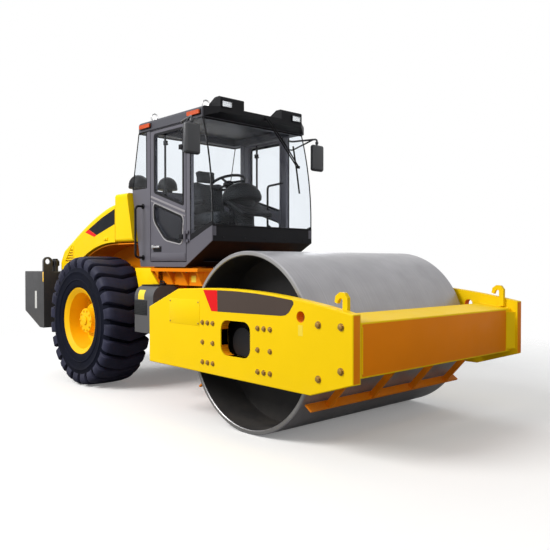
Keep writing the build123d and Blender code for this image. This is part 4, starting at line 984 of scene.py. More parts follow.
@dataclass
class Studio:
    """Floor, lights, backdrop and camera."""

    eye: Spot = (5.8734, -4.6176, 1.4264)
    look: Spot = (-0.7303, 0.6829, -0.0179)
    lens: float = 42.83
    sensor: float = 36.0
    target: Spot = (0.0, 0.0, 1.2)
    lamps: tuple[tuple[str, Spot, float, float, Colour], ...] = (
        ("key_light", (-2.0, -9.5, 8.2), 6.0, 1400.0, (1.0, 0.985, 0.96)),
        ("front_fill", (11.0, -3.0, 5.0), 8.0, 165.0, (1.0, 0.96, 0.92)),
        ("back_fill", (-9.0, 7.0, 8.0), 8.0, 560.0, (0.95, 0.97, 1.0)),
    )
    sky_light: float = 0.42
    floor_radius: float = 20.0
    floor_lit: float = 0.22
    floor_seen: float = 0.86
    floor_glow: float = 0.16
    fade: Flat = (4.0, 7.5)

    def build(self) -> None:
        """Set up the whole studio."""
        bpy.context.scene.view_settings.view_transform = "Standard"
        self.camera()
        self.world()
        self.floor()
        for row in self.lamps:
            self.lamp(*row)

    def aim(self, made: bpy.types.Object, way: Vector) -> None:
        """Turn a camera or lamp to look along a direction."""
        made.rotation_euler = way.to_track_quat("-Z", "Y").to_euler()

    def camera(self) -> None:
        """Camera at the photograph's angle."""
        data = bpy.data.cameras.new("camera")
        data.lens, data.sensor_width, data.clip_end = self.lens, self.sensor, 300.0
        made = placed("camera", data)
        made.location = self.eye
        self.aim(made, Vector(self.look))
        bpy.context.scene.camera = made

    def lamp(self, name: str, spot: Spot, size: float, power: float, colour: Colour) -> None:
        """A square soft box aimed at the machine's middle.

        Args:
            name: name of the lamp.
            spot: where it hangs.
            size: length of its side.
            power: its power in watts.
            colour: colour of its light.
        """
        data = bpy.data.lights.new(name, "AREA")
        data.shape, data.size, data.energy, data.color = "SQUARE", size, power, colour
        made = placed(name, data)
        made.location = spot
        self.aim(made, Vector(self.target) - Vector(spot))
        made.visible_camera = made.visible_transmission = False

    def world(self) -> None:
        """White to the eye and in gloss and glass, soft grey as light."""
        world = bpy.data.worlds.new("studio")
        bpy.context.scene.world = world
        world.use_nodes = True
        bench = NodeBench(world.node_tree)
        seen = bench.add("ShaderNodeLightPath").outputs
        through = bench.maths("MAXIMUM", seen["Is Glossy Ray"], seen["Is Transmission Ray"])
        show = bench.maths("MAXIMUM", seen["Is Camera Ray"], through)
        level = bench.spread(show, 0.0, 1.0, self.sky_light, 1.0)
        bench.feed(world.node_tree.nodes["Background"], Color=WHITE, Strength=level)

    def floor(self) -> None:
        """Pale floor that fades into the backdrop."""
        form = bmesh.new()
        bmesh.ops.create_circle(form, cap_ends=True, segments=64, radius=self.floor_radius)
        mesh = bpy.data.meshes.new("studio_floor")
        form.to_mesh(mesh)
        form.free()
        paint = bpy.data.materials.new("floor_paint")
        paint.use_nodes = True
        bench = NodeBench(paint.node_tree)
        shader = paint.node_tree.nodes["Principled BSDF"]
        seen = bench.add("ShaderNodeLightPath").outputs
        show = bench.maths("MAXIMUM", seen["Is Camera Ray"], seen["Is Transmission Ray"])
        lit, shown = ((level, level, level, 1.0) for level in (self.floor_lit, self.floor_seen))
        bench.feed(shader, Base_Color=bench.blend(show, lit, shown), Roughness=0.9)
        strength = bench.maths("MULTIPLY", show, self.floor_glow)
        glow = bench.feed(bench.add("ShaderNodeEmission"), Color=WHITE, Strength=strength)[0]
        lifted = bench.feed(bench.add("ShaderNodeAddShader"), _0=shader.outputs[0], _1=glow)[0]
        away = bench.feed(bench.add("ShaderNodeVectorMath", operation="LENGTH"), _0=bench.place())["Value"]
        fade = bench.maths("MULTIPLY", bench.spread(away, *self.fade, 0.0, 1.0), show)
        clear = bench.add("ShaderNodeBsdfTransparent").outputs[0]
        either = bench.feed(bench.add("ShaderNodeMixShader"), _0=fade, _1=lifted, _2=clear)[0]
        bench.feed(paint.node_tree.nodes["Material Output"], Surface=either)
        mesh.materials.append(paint)
        placed("studio_floor", mesh)


def dress_nodes() -> None:
    """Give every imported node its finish, from its slot or its own entry."""
    for row in frame["record"]["subparts"]:
        node, slot = row["node"], row["material_slot"]
        finish = NODE_FINISH.get(node, SLOT_FINISH[slot])
        mesh = frame["nodes"][node].data
        mesh.materials.clear()
        mesh.materials.append(finish.material())
        LOG.info("node %s in %s", node, finish.name)


@dataclass
class FrontFrame:
    """Trim of the front frame: bolts, bands, hatches, and orange edge strips and hole sleeves of the side plates
    painted as shade.
    """

    body: str = "front_frame"
    plate_y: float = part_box("side_plate_left")[1].y
    plate_inner_y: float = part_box("side_plate_left")[0].y
    nose_x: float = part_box("side_plate_left")[1].x
    bolt_radius: float = 0.017
    bolt_step: float = 0.072
    bolt_groups_x: Flat = (1.305, 2.025)
    bolt_rows: tuple[tuple[float, tuple[int, ...]], ...] = ((0.915, (0, 1, 2)), (0.745, (0, 2)), (0.572, (0, 1, 2)))
    beam_bolt_radius: float = 0.021
    beam_bolts: tuple[Flat, ...] = ((2.677, 0.986), (2.678, 0.597), (2.892, 0.985), (2.891, 0.677))
    window_low: Flat = (1.5565, 0.659)
    window_high: Flat = (1.9335, 0.953)
    window_corner: float = 0.08
    lifting_hole: Flat = (2.499, 1.033)
    scraper_bolt_radius: float = 0.013

    def build(self) -> None:
        """Make the trim of both sides."""
        self.bolts()
        self.bands()
        self.hatch()
        self.window_lining()
        self.edges()
        self.scraper_bolts()

    def bolts(self) -> None:
        """Buffer bolts round the window and the larger beam bolts near the nose."""
        form = Form()
        for group_x in self.bolt_groups_x:
            for row_z, steps in self.bolt_rows:
                for step in steps:
                    form.bolt((group_x + self.bolt_step * step, self.plate_y, row_z), OUT, self.bolt_radius)
        for bolt_x, bolt_z in self.beam_bolts:
            form.bolt((bolt_x, self.plate_y, bolt_z), OUT, self.beam_bolt_radius)
        form.pair("side_plate_bolts", ZINC, self.body)

    def bands(self) -> None:
        """Bare dark band with a slanted red end along the top of each plate."""
        dark = [
            (1.512, 1.199), (1.75, 1.198), (2.0, 1.188), (2.2, 1.173), (2.405, 1.153), (2.424, 1.142),
            (2.425, 1.122), (2.375, 1.057), (2.34, 1.036), (2.29, 1.028), (1.517, 1.019),
        ]
        red = [(1.316, 1.197), (1.51, 1.199), (1.515, 1.019), (1.43, 1.019)]
        Form().film(dark, self.plate_y).pair("plate_bands", BAND_DARK, self.body)
        Form().film(red, self.plate_y).pair("plate_band_ends", BAND_RED, self.body)

    def hatch(self) -> None:
        """Screwed cover over the hoses in the rear of each plate."""
        y = self.plate_y
        cover = rectangle((0.8, 0.88), (1.262, 1.105))
        Form().slab(cover, Sheet.SIDE, y - 0.001, y + 0.0025, bevel=FILM).pair("hatch_covers", YELLOW, self.body)
        screws = Form()
        for x, z in rectangle((0.818, 0.9), (1.244, 1.085)):
            screws.rod((x, y + 0.001, z), (x, y + 0.0075, z), 0.009, 14, 0.0065, bevel=0.001)
        screws.pair("hatch_screws", ZINC, self.body)

    def window_lining(self) -> None:
        """Orange sleeve on the wall inside each plate's window and lifting hole, as painted shade."""
        corners = rectangle(self.window_low, self.window_high)
        low, high = self.plate_inner_y + 0.001, self.plate_y - 0.01
        # The orange sleeve paints the shade on the holes' inner walls.
        form = Form().slab(corners, Sheet.SIDE, low, high, corner=self.window_corner)
        caps = [face for face in form.bm.faces if len(face.verts) > 8]
        bmesh.ops.delete(form.bm, geom=caps, context="FACES_ONLY")
        bmesh.ops.solidify(form.bm, geom=form.bm.faces[:], thickness=0.0025)
        x, z = self.lifting_hole
        sleeve = [(-0.078, 0.0435), (-0.078, 0.0405), (-0.002, 0.0405), (-0.002, 0.0435)]
        form.lathe(sleeve, (x, self.plate_y, z), OUT, 32)
        form.pair("window_linings", PAINTED_SHADE_ORANGE, self.body)

    def edges(self) -> None:
        """Orange strips painted as shade on the front edges of plates and on the beam's face, the beam's welds, and
        blank labels at the lifting holes.
        """
        middle = (self.plate_y + self.plate_inner_y) / 2
        # Orange strips on the plates' front edges and the beam's face are painted shade on faces that lie in shade.
        strip = Form().block((self.nose_x - 0.0005, middle, 0.833), (0.004, 0.066, 0.468), 0.0015)
        strip.pair("nose_strips", PAINTED_SHADE_ORANGE, self.body)
        skin = Form().block((2.9365, 0.0, 0.809), (0.004, 2.06, 0.372), 0.0015)
        skin.piece("beam_face_skin", PAINTED_SHADE_ORANGE, self.body)
        welds = Form().tube([(2.94, 1.034, 0.645), (2.94, 1.034, 0.975)], 0.006)
        welds.tube([(2.915, 1.122, 1.012), (2.63, 1.122, 1.045)], 0.007)
        welds.pair("beam_welds", YELLOW, self.body)
        label = Form().film(rectangle((2.475, 0.892), (2.522, 0.972)), self.plate_y, 0.001)
        label.pair("lifting_labels", YELLOW_LABEL, self.body)

    def scraper_bolts(self) -> None:
        """Bolts in the feet of the scraper arms."""
        form = Form()
        for arm_y in (0.28, 0.82):
            for y in (arm_y - 0.065, arm_y + 0.065):
                for x, z in ((2.692, 0.596), (0.837, 0.506)):
                    form.bolt((x, y, z), DOWN, self.scraper_bolt_radius)
        form.pair("scraper_bolts", ZINC, self.body)


@dataclass
class DrumTrim:
    """Machined ends of the drum, and a near-black sheet inside it painted as shade."""

    body: str = "drum_body"
    axle: Spot = (1.727, 0.0, 0.765)
    half_width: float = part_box("drum")[1].y
    steps: int = 128

    def build(self) -> None:
        """Make the bright end rings, and the near-black sheet of painted shade inside the shell, with its rounded edge
        where the heads meet the shell.
        """
        # Painted shade: a dark sheet over the inside of the shell and heads.
        shade_sheet = [
            (1.062, 0.7268), (1.062, 0.7248), (0.706, 0.7248), (0.694, 0.718), (0.692, 0.705), (0.692, 0.212),
            (0.6905, 0.21), (0.6905, 0.7268), (1.062, 0.7268),
        ]
        inner, outer = self.half_width + 0.0005, self.half_width + 0.0025
        ring = [(inner, 0.731), (outer, 0.733), (outer, 0.756), (inner, 0.758)]
        for name, finish, profile in (
            ("drum_linings", DRUM_SHADE, shade_sheet),
            ("drum_end_rings", BARE_STEEL, ring),
        ):
            Form().lathe(profile, self.axle, OUT, self.steps).pair(name, finish, self.body)


@dataclass
class Wheel:
    """One rear wheel: lugged tyre, rim lip, wheel nuts, hub bolts and valve."""

    side: Side
    centre_x: float = -1.263
    centre_y: float = 0.83
    centre_z: float = 0.755
    radius: float = 0.755
    steps: int = 96
    crease: float = 38.0
    lug_count: int = 24
    lug_length: float = 0.142
    lug_sweep: float = 0.06
    lug_taper: float = 0.16
    lug_depth: float = 0.045
    lug_flare: float = 0.008
    lug_edge: float = 0.005
    nut_circle: float = 0.262
    hub_circle: float = 0.115
    hub_out: float = 0.1685

    @property
    def body(self) -> str:
        """Body that the wheel turns with."""
        return f"wheel_{self.side.word}"

    def spot(self, along: float, out: float, up: float) -> Spot:
        """A place counted forward, outward and up from the tyre's middle."""
        return (self.centre_x + along, self.side.value * (self.centre_y + out), self.centre_z + up)

    def build(self) -> None:
        """Make the tyre and what is fixed to the rim."""
        self.tyre()
        self.rim_lip()
        self.fastenings()

    def tyre(self) -> None:
        """Round carcass with moulded rings, and chevron lugs over its shoulders."""
        half = [
            (0.229, 0.3872), (0.243, 0.3895), (0.252, 0.398), (0.258, 0.43), (0.262, 0.468), (0.269, 0.474),
            (0.269, 0.484), (0.264, 0.49), (0.268, 0.53), (0.269, 0.562), (0.272, 0.566), (0.272, 0.572),
            (0.267, 0.577), (0.262, 0.615), (0.25, 0.655), (0.226, 0.69), (0.19, 0.701), (0.1, 0.704),
        ]
        profile = half + [(-along, radius) for along, radius in reversed(half)]
        carcass = Form().lathe(profile, self.spot(0.0, 0.0, 0.0), OUT, self.steps)
        made = carcass.piece(f"carcass_{self.side.word}", TYRE, self.body, self.crease)
        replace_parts(made, f"tyre_{self.side.word}")
        tread = Form()
        for angle, _, _ in around(self.lug_count, self.radius):
            self.lug(tread, angle)
        tread.piece(f"lugs_{self.side.word}", LUG, self.body, self.crease)

    def lug(self, form: Form, angle: float) -> None:
        """One chevron lug, laid flat and then bent round the carcass.

        Args:
            form: mesh of the lugs.
            angle: where the lug sits round the tyre.
        """
        half = [
            (0.263, 0.625), (0.274, 0.655), (0.275, 0.69), (0.262, 0.723), (0.235, 0.741), (0.19, 0.749), (0.1, 0.7535),
        ]
        stations = [(-across, height) for across, height in half] + [(0.0, 0.7548)] + half[::-1]
        bm, last = form.bm, len(stations) - 1
        grid = bmesh.ops.create_grid(bm, x_segments=last, y_segments=3, size=0.5)["verts"]
        reach = (self.lug_length + self.lug_sweep) / 2
        phase = math.asin(reach / self.radius)
        for vert in grid:
            across, height = stations[round((vert.co.x + 0.5) * last)]
            sweep = self.lug_sweep * max(0.0, 1.0 - abs(across) / 0.24)
            taper = 1.0 - self.lug_taper * max(0.0, (abs(across) - 0.18) / 0.1)
            vert.co = (across, sweep - reach + self.lug_length * (0.5 + vert.co.y * taper), height)
        edges = {edge for vert in grid for edge in vert.link_edges}
        border = [edge for edge in edges if edge.is_boundary]
        skirt = bmesh.ops.extrude_edge_only(bm, edges=border)["geom"]
        low = [item for item in skirt if isinstance(item, BMVert)]
        for vert in low:
            vert.co.z -= self.lug_depth + max(0.0, (0.70 - vert.co.z) * 0.2)
            vert.co.y += math.copysign(self.lug_flare, vert.co.y)
            vert.co.x *= 0.985
            if abs(vert.co.x) > 0.25:
                vert.co.x *= 0.95
        rounded = form.bevel(border, self.lug_edge, 2)
        for vert in set(low) | {vert for vert in grid if vert.is_valid} | set(rounded):
            across, along, height = vert.co
            spin = along / self.radius - phase + angle
            bent = Vector((-height * math.sin(spin), across, -height * math.cos(spin)))
            vert.co = Vector(self.spot(0.0, 0.0, 0.0)) + bent

    def rim_lip(self) -> None:
        """Rolled lip round the rim's outer face."""
        lip = [
            (0.2165, 0.3505), (0.2235, 0.3478), (0.2455, 0.3795), (0.2475, 0.3838), (0.2465, 0.3866),
            (0.242, 0.387), (0.2395, 0.384), (0.233, 0.364), (0.2165, 0.3505),
        ]
        form = Form().lathe(lip, self.spot(0.0, 0.0, 0.0), (0, self.side.value, 0), self.steps)
        form.piece(f"rim_lip_{self.side.word}", RIM_PAINT, self.body)

    def fastenings(self) -> None:
        """Wheel nuts on their studs, hub cover with bolts, and valve on the outer face."""
        form, out = Form(), (0, self.side.value, 0)
        for _, along, up in around(12, self.nut_circle, 0.5):
            form.bolt(self.spot(along, 0.0, up), out, 0.02)
            form.rod(self.spot(along, 0.0, up), self.spot(along, 0.03, up), 0.01, 12, bevel=0.001)
        for _, along, up in around(10, self.hub_circle):
            form.bolt(self.spot(along, self.hub_out, up), out, 0.012)
        form.rod(self.spot(0.0, 0.172, 0.0), self.spot(0.0, 0.186, 0.0), 0.05, 28, bevel=0.004)
        valve = [self.spot(0.2, 0.0, -0.24), self.spot(0.2, 0.06, -0.24), self.spot(0.17, 0.1, -0.22)]
        form.tube(valve, 0.006, 0.02)
        form.piece(f"wheel_nuts_{self.side.word}", RIM_PAINT, self.body)


@dataclass
class RearBody:
    """Trim of the hood, counterweight, side tanks, deck, intake caps and engine."""

    body: str = "rear_frame"
    hood_body: str = "hood_body"
    hood_y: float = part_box("hood")[1].y
    weight_y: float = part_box("counterweight")[1].y
    tail_x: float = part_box("counterweight")[0].x
    tail_lamp_z: float = 1.2
    filler: Flat = (-2.453, -0.82)
    tank_round: Flat = (0.86, 1.075)
    deck_bolt_radius: float = 0.014
    cap_x: float = -0.85
    cap_base_z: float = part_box("intake_caps")[0].z

    def build(self) -> None:
        """Make all the rear trim."""
        self.hood_trim()
        self.weight_trim()
        self.tail_lamps()
        self.tank_trim()
        self.deck_trim()
        self.cap_bands()
        self.engine_trim()

    def hood_trim(self) -> None:
        """Bare band with a red tip, punched sheet behind the air slots with its border, and latch, on each side."""
        y = self.hood_y
        band = [(-1.632, 1.846), (-1.3, 1.972), (-0.993, 2.06), (-0.993, 1.884), (-1.428, 1.77)]
        tip = [(-1.721, 1.812), (-1.634, 1.845), (-1.43, 1.769), (-1.492, 1.748)]
        Form().film(band, y).pair("hood_bands", HOOD_BLACK, self.hood_body)
        Form().film(tip, y).pair("hood_band_tips", BAND_RED, self.hood_body)
        sheet = [(-2.33, 1.42), (-2.03, 1.42), (-2.06, 1.64), (-2.12, 1.64)]
        Form().film(sheet, y - 0.028, 0.0025).pair("tail_grille_sheets", MESH_SHEET, self.hood_body)
        border = [(-2.3, y, 1.435), (-2.034, y, 1.435), (-2.05, y, 1.655), (-2.09, y, 1.655)]
        Form().tube(border, 0.006, 0.015, closed=True).pair("tail_grille_borders", YELLOW, self.hood_body)
        latch = Form().block((-1.2, y + 0.004, 1.715), (0.09, 0.012, 0.035))
        latch.rod((-1.2, y + 0.008, 1.715), (-1.2, y + 0.016, 1.715), 0.013, 16, bevel=0.002)
        latch.pair("hood_latches", YELLOW, self.hood_body)

    def weight_trim(self) -> None:
        """Reflector strips, blank plates, lug collars and filler grip on the counterweight."""
        strips = Form().block((-2.4235, self.weight_y, 1.25), (0.032, 0.003, 0.13), 0.001)
        strips.block((self.tail_x, 0.86, 0.98), (0.003, 0.05, 0.26), 0.001)
        strips.pair("reflector_strips", REFLECTOR, self.body)
        plate = rectangle((-2.68, 0.83), (-2.62, 1.06))
        Form().film(plate, self.weight_y).pair("weight_plates", PALE_LABEL, self.body)
        collar = [(-0.0435, 0.036), (-0.0435, 0.052), (-0.041, 0.054), (-0.039, 0.054)]
        Form().lathe(collar, (-2.4, 0.94, 1.45), AHEAD, 40).pair("tie_lug_collars", WEIGHT_PAINT, self.body)
        cap = Form()
        x, y = self.filler
        for angle, along, across in around(16, 0.05):
            spot, turn = (x + along, y + across, 1.425), Matrix.Rotation(angle, 3, "Z")
            cap.block(spot, (0.008, 0.008, 0.06), 0.002, 1, turn)
        cap.lathe([(0.0, 0.001), (0.0, 0.03), (-0.01, 0.038), (-0.012, 0.038)], (x, y, 1.487), UP, 32)
        cap.piece("filler_grip", BLACK_PLASTIC, self.body)

    def tail_lamps(self) -> None:
        """Lamp cluster at each corner of the counterweight's tail."""
        shell, lens = (0.02, 0.25, 0.12), (0.012, 0.1, 0.09)
        lens_x = self.tail_x - 0.011
        for name, finish, x, y, size, bevel in (
            ("tail_lamp_shells", BLACK_PLASTIC, self.tail_x, 0.72, shell, 0.008),
            ("tail_lenses_red", TAIL_RED, lens_x, 0.66, lens, 0.005),
            ("tail_lenses_amber", AMBER, lens_x, 0.78, lens, 0.005),
        ):
            Form().block((x, y, self.tail_lamp_z), size, bevel).pair(name, finish, self.body)

    def tank_trim(self) -> None:
        """Vented panel, blank label, lid and step loop of each side tank."""
        panel = Form().block((-0.068, 0.98, 0.966), (0.244, 0.006, 0.156), 0.002)
        for row in range(9):
            panel.block((-0.068, 0.984, 0.9 + 0.0165 * row), (0.222, 0.005, 0.006), 0.0015, 1)
        panel.pair("tank_vent_panels", VENT_BLACK, self.body)
        y, z = self.tank_round
        angles = [0.13 * step for step in range(6)]
        outer, inner = 0.121, 0.1198
        label = [(y + outer, z - 0.025)]
        label += [(y + outer * math.cos(a), z + outer * math.sin(a)) for a in angles]
        label += [(y + inner * math.cos(a), z + inner * math.sin(a)) for a in reversed(angles)]
        label += [(y + inner, z - 0.025)]
        Form().slab(label, Sheet.END, -0.12, -0.003).pair("tank_labels", YELLOW_LABEL, self.body)
        lid = Form().block((-0.01, 0.78, 1.197), (0.33, 0.25, 0.008), 0.003)
        loop = [(-0.1, 0.72, 1.2), (-0.1, 0.72, 1.232), (-0.02, 0.72, 1.232), (-0.02, 0.72, 1.2)]
        lid.tube(loop, 0.007, 0.012).rod((0.08, 0.8, 1.2), (0.08, 0.8, 1.222), 0.035, 24, bevel=0.004)
        lid.pair("tank_lids", BLACK_PLASTIC, self.body)

    def deck_trim(self) -> None:
        """Yellow outrigger skins, the bolts under the deck's edge and blank labels."""
        skin = [
            (-0.574, 1.376), (-0.255, 1.376), (-0.255, 1.338), (-0.112, 1.202), (-0.2, 1.202), (-0.2, 1.002),
            (-0.448, 1.002),
        ]
        outer_y = 0.7415
        skins = Form().slab(skin, Sheet.SIDE, 0.7195, outer_y, bevel=0.0015)
        skins.pair("outrigger_skins", YELLOW, self.body)
        bolts = Form()
        for x in (-0.06, 0.12, 0.34, 0.52):
            bolts.bolt((x, 0.69, 1.34), DOWN, self.deck_bolt_radius)
        for x in (-0.4, -0.28):
            bolts.bolt((x, outer_y, 1.06), OUT, self.deck_bolt_radius)
        bolts.pair("deck_bolts", ZINC, self.body)
        label = Form().film(rectangle((0.36, 1.23), (0.44, 1.3)), 0.64, 0.0015)
        label.pair("deck_labels", YELLOW_LABEL, self.body)

    def cap_bands(self) -> None:
        """Clamp bands and bolted feet of the intake caps."""
        form = Form()
        x, z = self.cap_x, self.cap_base_z
        band = [(0.008, 0.1175), (0.008, 0.121), (0.03, 0.121), (0.03, 0.1175)]
        foot = [(0.0, 0.06), (0.0, 0.078), (0.012, 0.078), (0.012, 0.06)]
        for y, stem in ((-0.12, 0.085), (-0.52, 0.075)):
            form.lathe(band, (x, y, z + stem), UP, 56).lathe(foot, (x, y, z), UP, 40)
            for _, along, across in around(6, 0.069):
                form.bolt((x + along, y + across, z + 0.011), UP, 0.006, False)
        form.piece("intake_cap_bands", BLACK_PLASTIC, self.body)

    def engine_trim(self) -> None:
        """Bolted rocker cover on the engine, seen with the hood open."""
        low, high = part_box("engine_block")
        top, middle = high.z, (low.x + high.x) / 2
        form = Form().block((middle, 0.0, top + 0.01), (0.6 * (high.x - low.x), 0.22, 0.02), 0.008, 3)
        for step in range(6):
            for y in (0.085, -0.085):
                form.bolt((middle - 0.25 + 0.1 * step, y, top + 0.019), UP, 0.009, False)
        form.piece("rocker_cover", IRON, self.body)


@dataclass
class Cab:
    """Trim of the cab: seals, door fittings, lamps, wiper, mirrors and inside fittings."""

    body: str = "rear_frame"
    half_width: float = 0.7
    foot: Flat = (0.787, 1.8)
    head: Flat = (0.636, 2.88)
    bow: float = 0.045
    upper_pane: tuple[Flat, ...] = ((-0.246, 2.832), (0.314, 2.832), (0.314, 2.015), (-0.246, 2.19))
    lower_pane: tuple[Flat, ...] = (
        (-0.253, 2.084), (0.307, 1.908), (0.278, 1.625), (-0.035, 1.68), (-0.248, 1.887),
    )
    pane_bead: tuple[Flat, ...] = ((-0.262, 2.098), (0.318, 1.916), (0.288, 1.612), (-0.04, 1.667), (-0.26, 1.882))
    mirror: Spot = (0.697, 0.88, 2.63)
    wheel_hub: Spot = (0.167, 0.0, 2.325)

    def build(self) -> None:
        """Make all the cab's trim."""
        self.glass_seals()
        self.wiper()
        self.lamps()
        self.roof_rings()
        self.mirrors()
        self.lower_trim()
        self.dash()
        self.floor()
        for side in Side:
            self.door_trim(side)

    def screen_line(self, y: float, inset: float) -> list[Spot]:
        """Points down the bowed edge of the windscreen.

        Args:
            y: distance off the centre plane.
            inset: distance behind the outer face.

        Returns:
            Control points from head to foot.
        """
        points = []
        for step in range(7):
            share = step / 6
            x, z = (top + (low - top) * share for top, low in zip(self.head, self.foot))
            points.append((x + self.bow * 4 * share * (1 - share) - inset, y, z))
        return points

    def glass_seals(self) -> None:
        """Black seals at the glass corners, sills and posts."""
        y = self.half_width - 0.008
        post_y, pane_y = y + 0.004, self.half_width - 0.002
        quarter = [(-0.395, pane_y, 2.262), (-0.395, pane_y, 2.876), (-0.551, pane_y, 2.876), (-0.688, pane_y, 2.262)]
        sill = [(0.424, 1.662), (0.78, 1.799), (0.78, 1.84), (0.424, 1.72)]
        form = Form().tube(self.screen_line(y, 0.004), 0.0075, 0.05)
        form.tube([(0.784, y, 1.8), (0.422, post_y, 1.661)], 0.007)
        form.tube([(0.424, post_y, 1.661), (0.424, post_y, 2.878)], 0.007)
        form.tube(quarter, 0.007, 0.012, closed=True)
        form.slab(sill, Sheet.SIDE, self.half_width - 0.0005, self.half_width + FILM)
        form.mirrored()
        rails = ((0.786, 1.802, 0.009), (0.638, 2.872, 0.01), (-0.69, 2.263, 0.008), (-0.551, 2.874, 0.008))
        for x, z, radius in rails:
            form.tube([(x, -y, z), (x, y, z)], radius)
        form.piece("glass_seals", BLACK_PLASTIC, self.body)

    def wiper(self) -> None:
        """Parallel-arm wiper parked across the windscreen."""
        form = Form().rod((0.752, 0.04, 2.945), (0.775, 0.04, 2.945), 0.022, 20, bevel=0.003)
        form.tube([(0.772, 0.03, 2.945), (0.79, 0.25, 2.7), (0.79, 0.47, 2.475)], 0.008, 0.05)
        form.tube([(0.772, 0.055, 2.955), (0.79, 0.275, 2.715), (0.79, 0.49, 2.485)], 0.008, 0.05)
        form.block((0.79, 0.48, 2.48), (0.02, 0.05, 0.03))
        for ahead, radius in ((0.008, 0.009), (0.0, 0.004)):
            blade = [(0.778 + ahead, 0.41, 2.7), (0.786 + ahead, 0.455, 2.45), (0.794 + ahead, 0.492, 2.19)]
            form.tube(blade, radius, 0.05)
        form.piece("wiper", BLACK_PLASTIC, self.body)

    def lamps(self) -> None:
        """Bowls and bezels of the work lamps, and bases of the markers."""
        bowl = Form().block((0.7585, 0.488, 3.012), (0.004, 0.122, 0.056), 0.001)
        bowl.pair("work_lamp_bowls", REFLECT_BOWL, self.body)
        bezel = Form().slab(rectangle((0.415, 2.974), (0.561, 3.05)), Sheet.END, 0.757, 0.768, corner=0.012)
        front = max(bezel.bm.faces, key=lambda face: face.calc_center_median().x)
        bmesh.ops.inset_region(bezel.bm, faces=[front], thickness=0.009)
        bmesh.ops.delete(bezel.bm, geom=[front], context="FACES_ONLY")
        bezel.pair("work_lamp_bezels", BLACK_PLASTIC, self.body)
        base = Form()
        for x in (0.52, -0.381):
            base.block((x, 0.719, 2.93), (0.222, 0.01, 0.056))
        base.pair("marker_bases", BLACK_PLASTIC, self.body)

    def roof_rings(self) -> None:
        """Lifting rings at the roof's corners."""
        form = Form()
        for x, y in ((0.57, 0.615), (-0.3, 0.66)):
            ring = [(x + 0.026 * c, y - 0.026 * c, 3.03 + 0.037 * s) for _, c, s in around(8, 1.0)]
            form.tube(ring, 0.008, 0.02, closed=True).rod((x, y, 2.975), (x, y, 2.998), 0.018, 16, bevel=0.002)
        form.pair("roof_rings", SILVER, self.body)

    def mirrors(self) -> None:
        """Rounded mirror heads on tubular arms, with their faces to the rear."""
        x, y, z = self.mirror
        post_x, post_y, bend_y = 0.389, 0.698, 0.79
        upper, lower = 2.85, 2.75
        form = Form().block((x + 0.004, y, z), (0.062, 0.185, 0.3), 0.028, 5)
        form.tube([(post_x, post_y, upper), (post_x, bend_y, upper), (x, y, upper), (x, y, 2.76)], 0.011, 0.035)
        form.tube([(post_x, post_y, lower), (post_x, bend_y, lower), (0.64, 0.865, 2.845)], 0.009)
        for level in (upper, lower):
            form.rod((post_x, post_y, level), (post_x, post_y + 0.01, level), 0.024, bevel=0.002)
        form.rod((x, y, 2.79), (x, y, 2.82), 0.018, bevel=0.003)
        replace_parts(form.pair("mirror_heads", MIRROR_SHELL, self.body), "mirrors")
        face = Form().block((x - 0.0275, y, z), (0.003, 0.15, 0.262), 0.0012)
        face.pair("mirror_faces", MIRROR_FACE, self.body)

    def lower_trim(self) -> None:
        """Bolts of the front panel, black skin with a turned-up lip painted as shade under the cab's chin, and flanges
        of the grab rails.
        """
        bolts = Form()
        for step in range(5):
            bolts.bolt((0.79, -0.56 + 0.28 * step, 1.68), AHEAD, 0.007)
        bolts.piece("front_panel_bolts", BLACK_PAINT, self.body)
        # Black skin under the chin: painted shade on the cab's underside.
        chin = [(0.34, 1.3955), (0.3415, 1.3915), (0.789, 1.6465), (0.7905, 1.7), (0.788, 1.7), (0.7865, 1.6505)]
        Form().slab(chin, Sheet.SIDE, -0.69, 0.69).piece("chin_cover", BLACK_PLASTIC, self.body)
        flanges = Form()
        for z in (1.49, 2.06):
            flanges.rod((-0.468, 0.7, z), (-0.468, 0.708, z), 0.03, 24, bevel=0.002)
            for offset in (-0.02, 0.02):
                flanges.bolt((-0.468, 0.708, z + offset), OUT, 0.006, False)
        flanges.pair("grab_rail_flanges", BLACK_PAINT, self.body)

    def door_trim(self, side: Side) -> None:
        """Gaskets, sash bar, pressings and pane rim painted light as highlight, kick panel, handle with its recess's
        painted shadow, and fittings of one door.

        Args:
            side: the door's side.
        """
        body, word = f"door_{side.word}_body", side.word

        def out(offset: float) -> float:
            """Distance off the centre plane, counted from the door's outer face."""
            return side.value * (self.half_width + offset)

        gasket = Form()
        low, high = sorted((out(-0.002), out(0.003)))
        for pane, corner in ((self.upper_pane, 0.03), (self.lower_pane, 0.06)):
            gasket.ring(pane, Sheet.SIDE, low, high, 0.026, corner)
        gasket.tube([(-0.09, out(-0.045), 2.125), (-0.09, out(-0.045), 2.845)], 0.012)
        for z in (2.24, 2.72):
            gasket.block((-0.09, out(-0.05), z), (0.045, 0.035, 0.05), 0.008)
            gasket.rod((-0.125, out(-0.05), z + 0.02), (-0.05, out(-0.05), z - 0.02), 0.008, 12, bevel=0.002)
        gasket.piece(f"door_gaskets_{word}", BLACK_PLASTIC, body)
        low, high = sorted((out(-0.001), out(0.006)))
        # The pressings are painted lighter than the cab: painted highlight.
        skin = Form()
        for top, width in ((2.168, 0.023), (2.118, 0.013)):
            fold = [(-0.305, top), (0.338, top - 0.2), (0.338, top - 0.2 - width), (-0.305, top - width)]
            skin.slab(fold, Sheet.SIDE, low, high, bevel=0.0025)
        skin.piece(f"door_pressings_{word}", CAB_HIGHLIGHT, body)
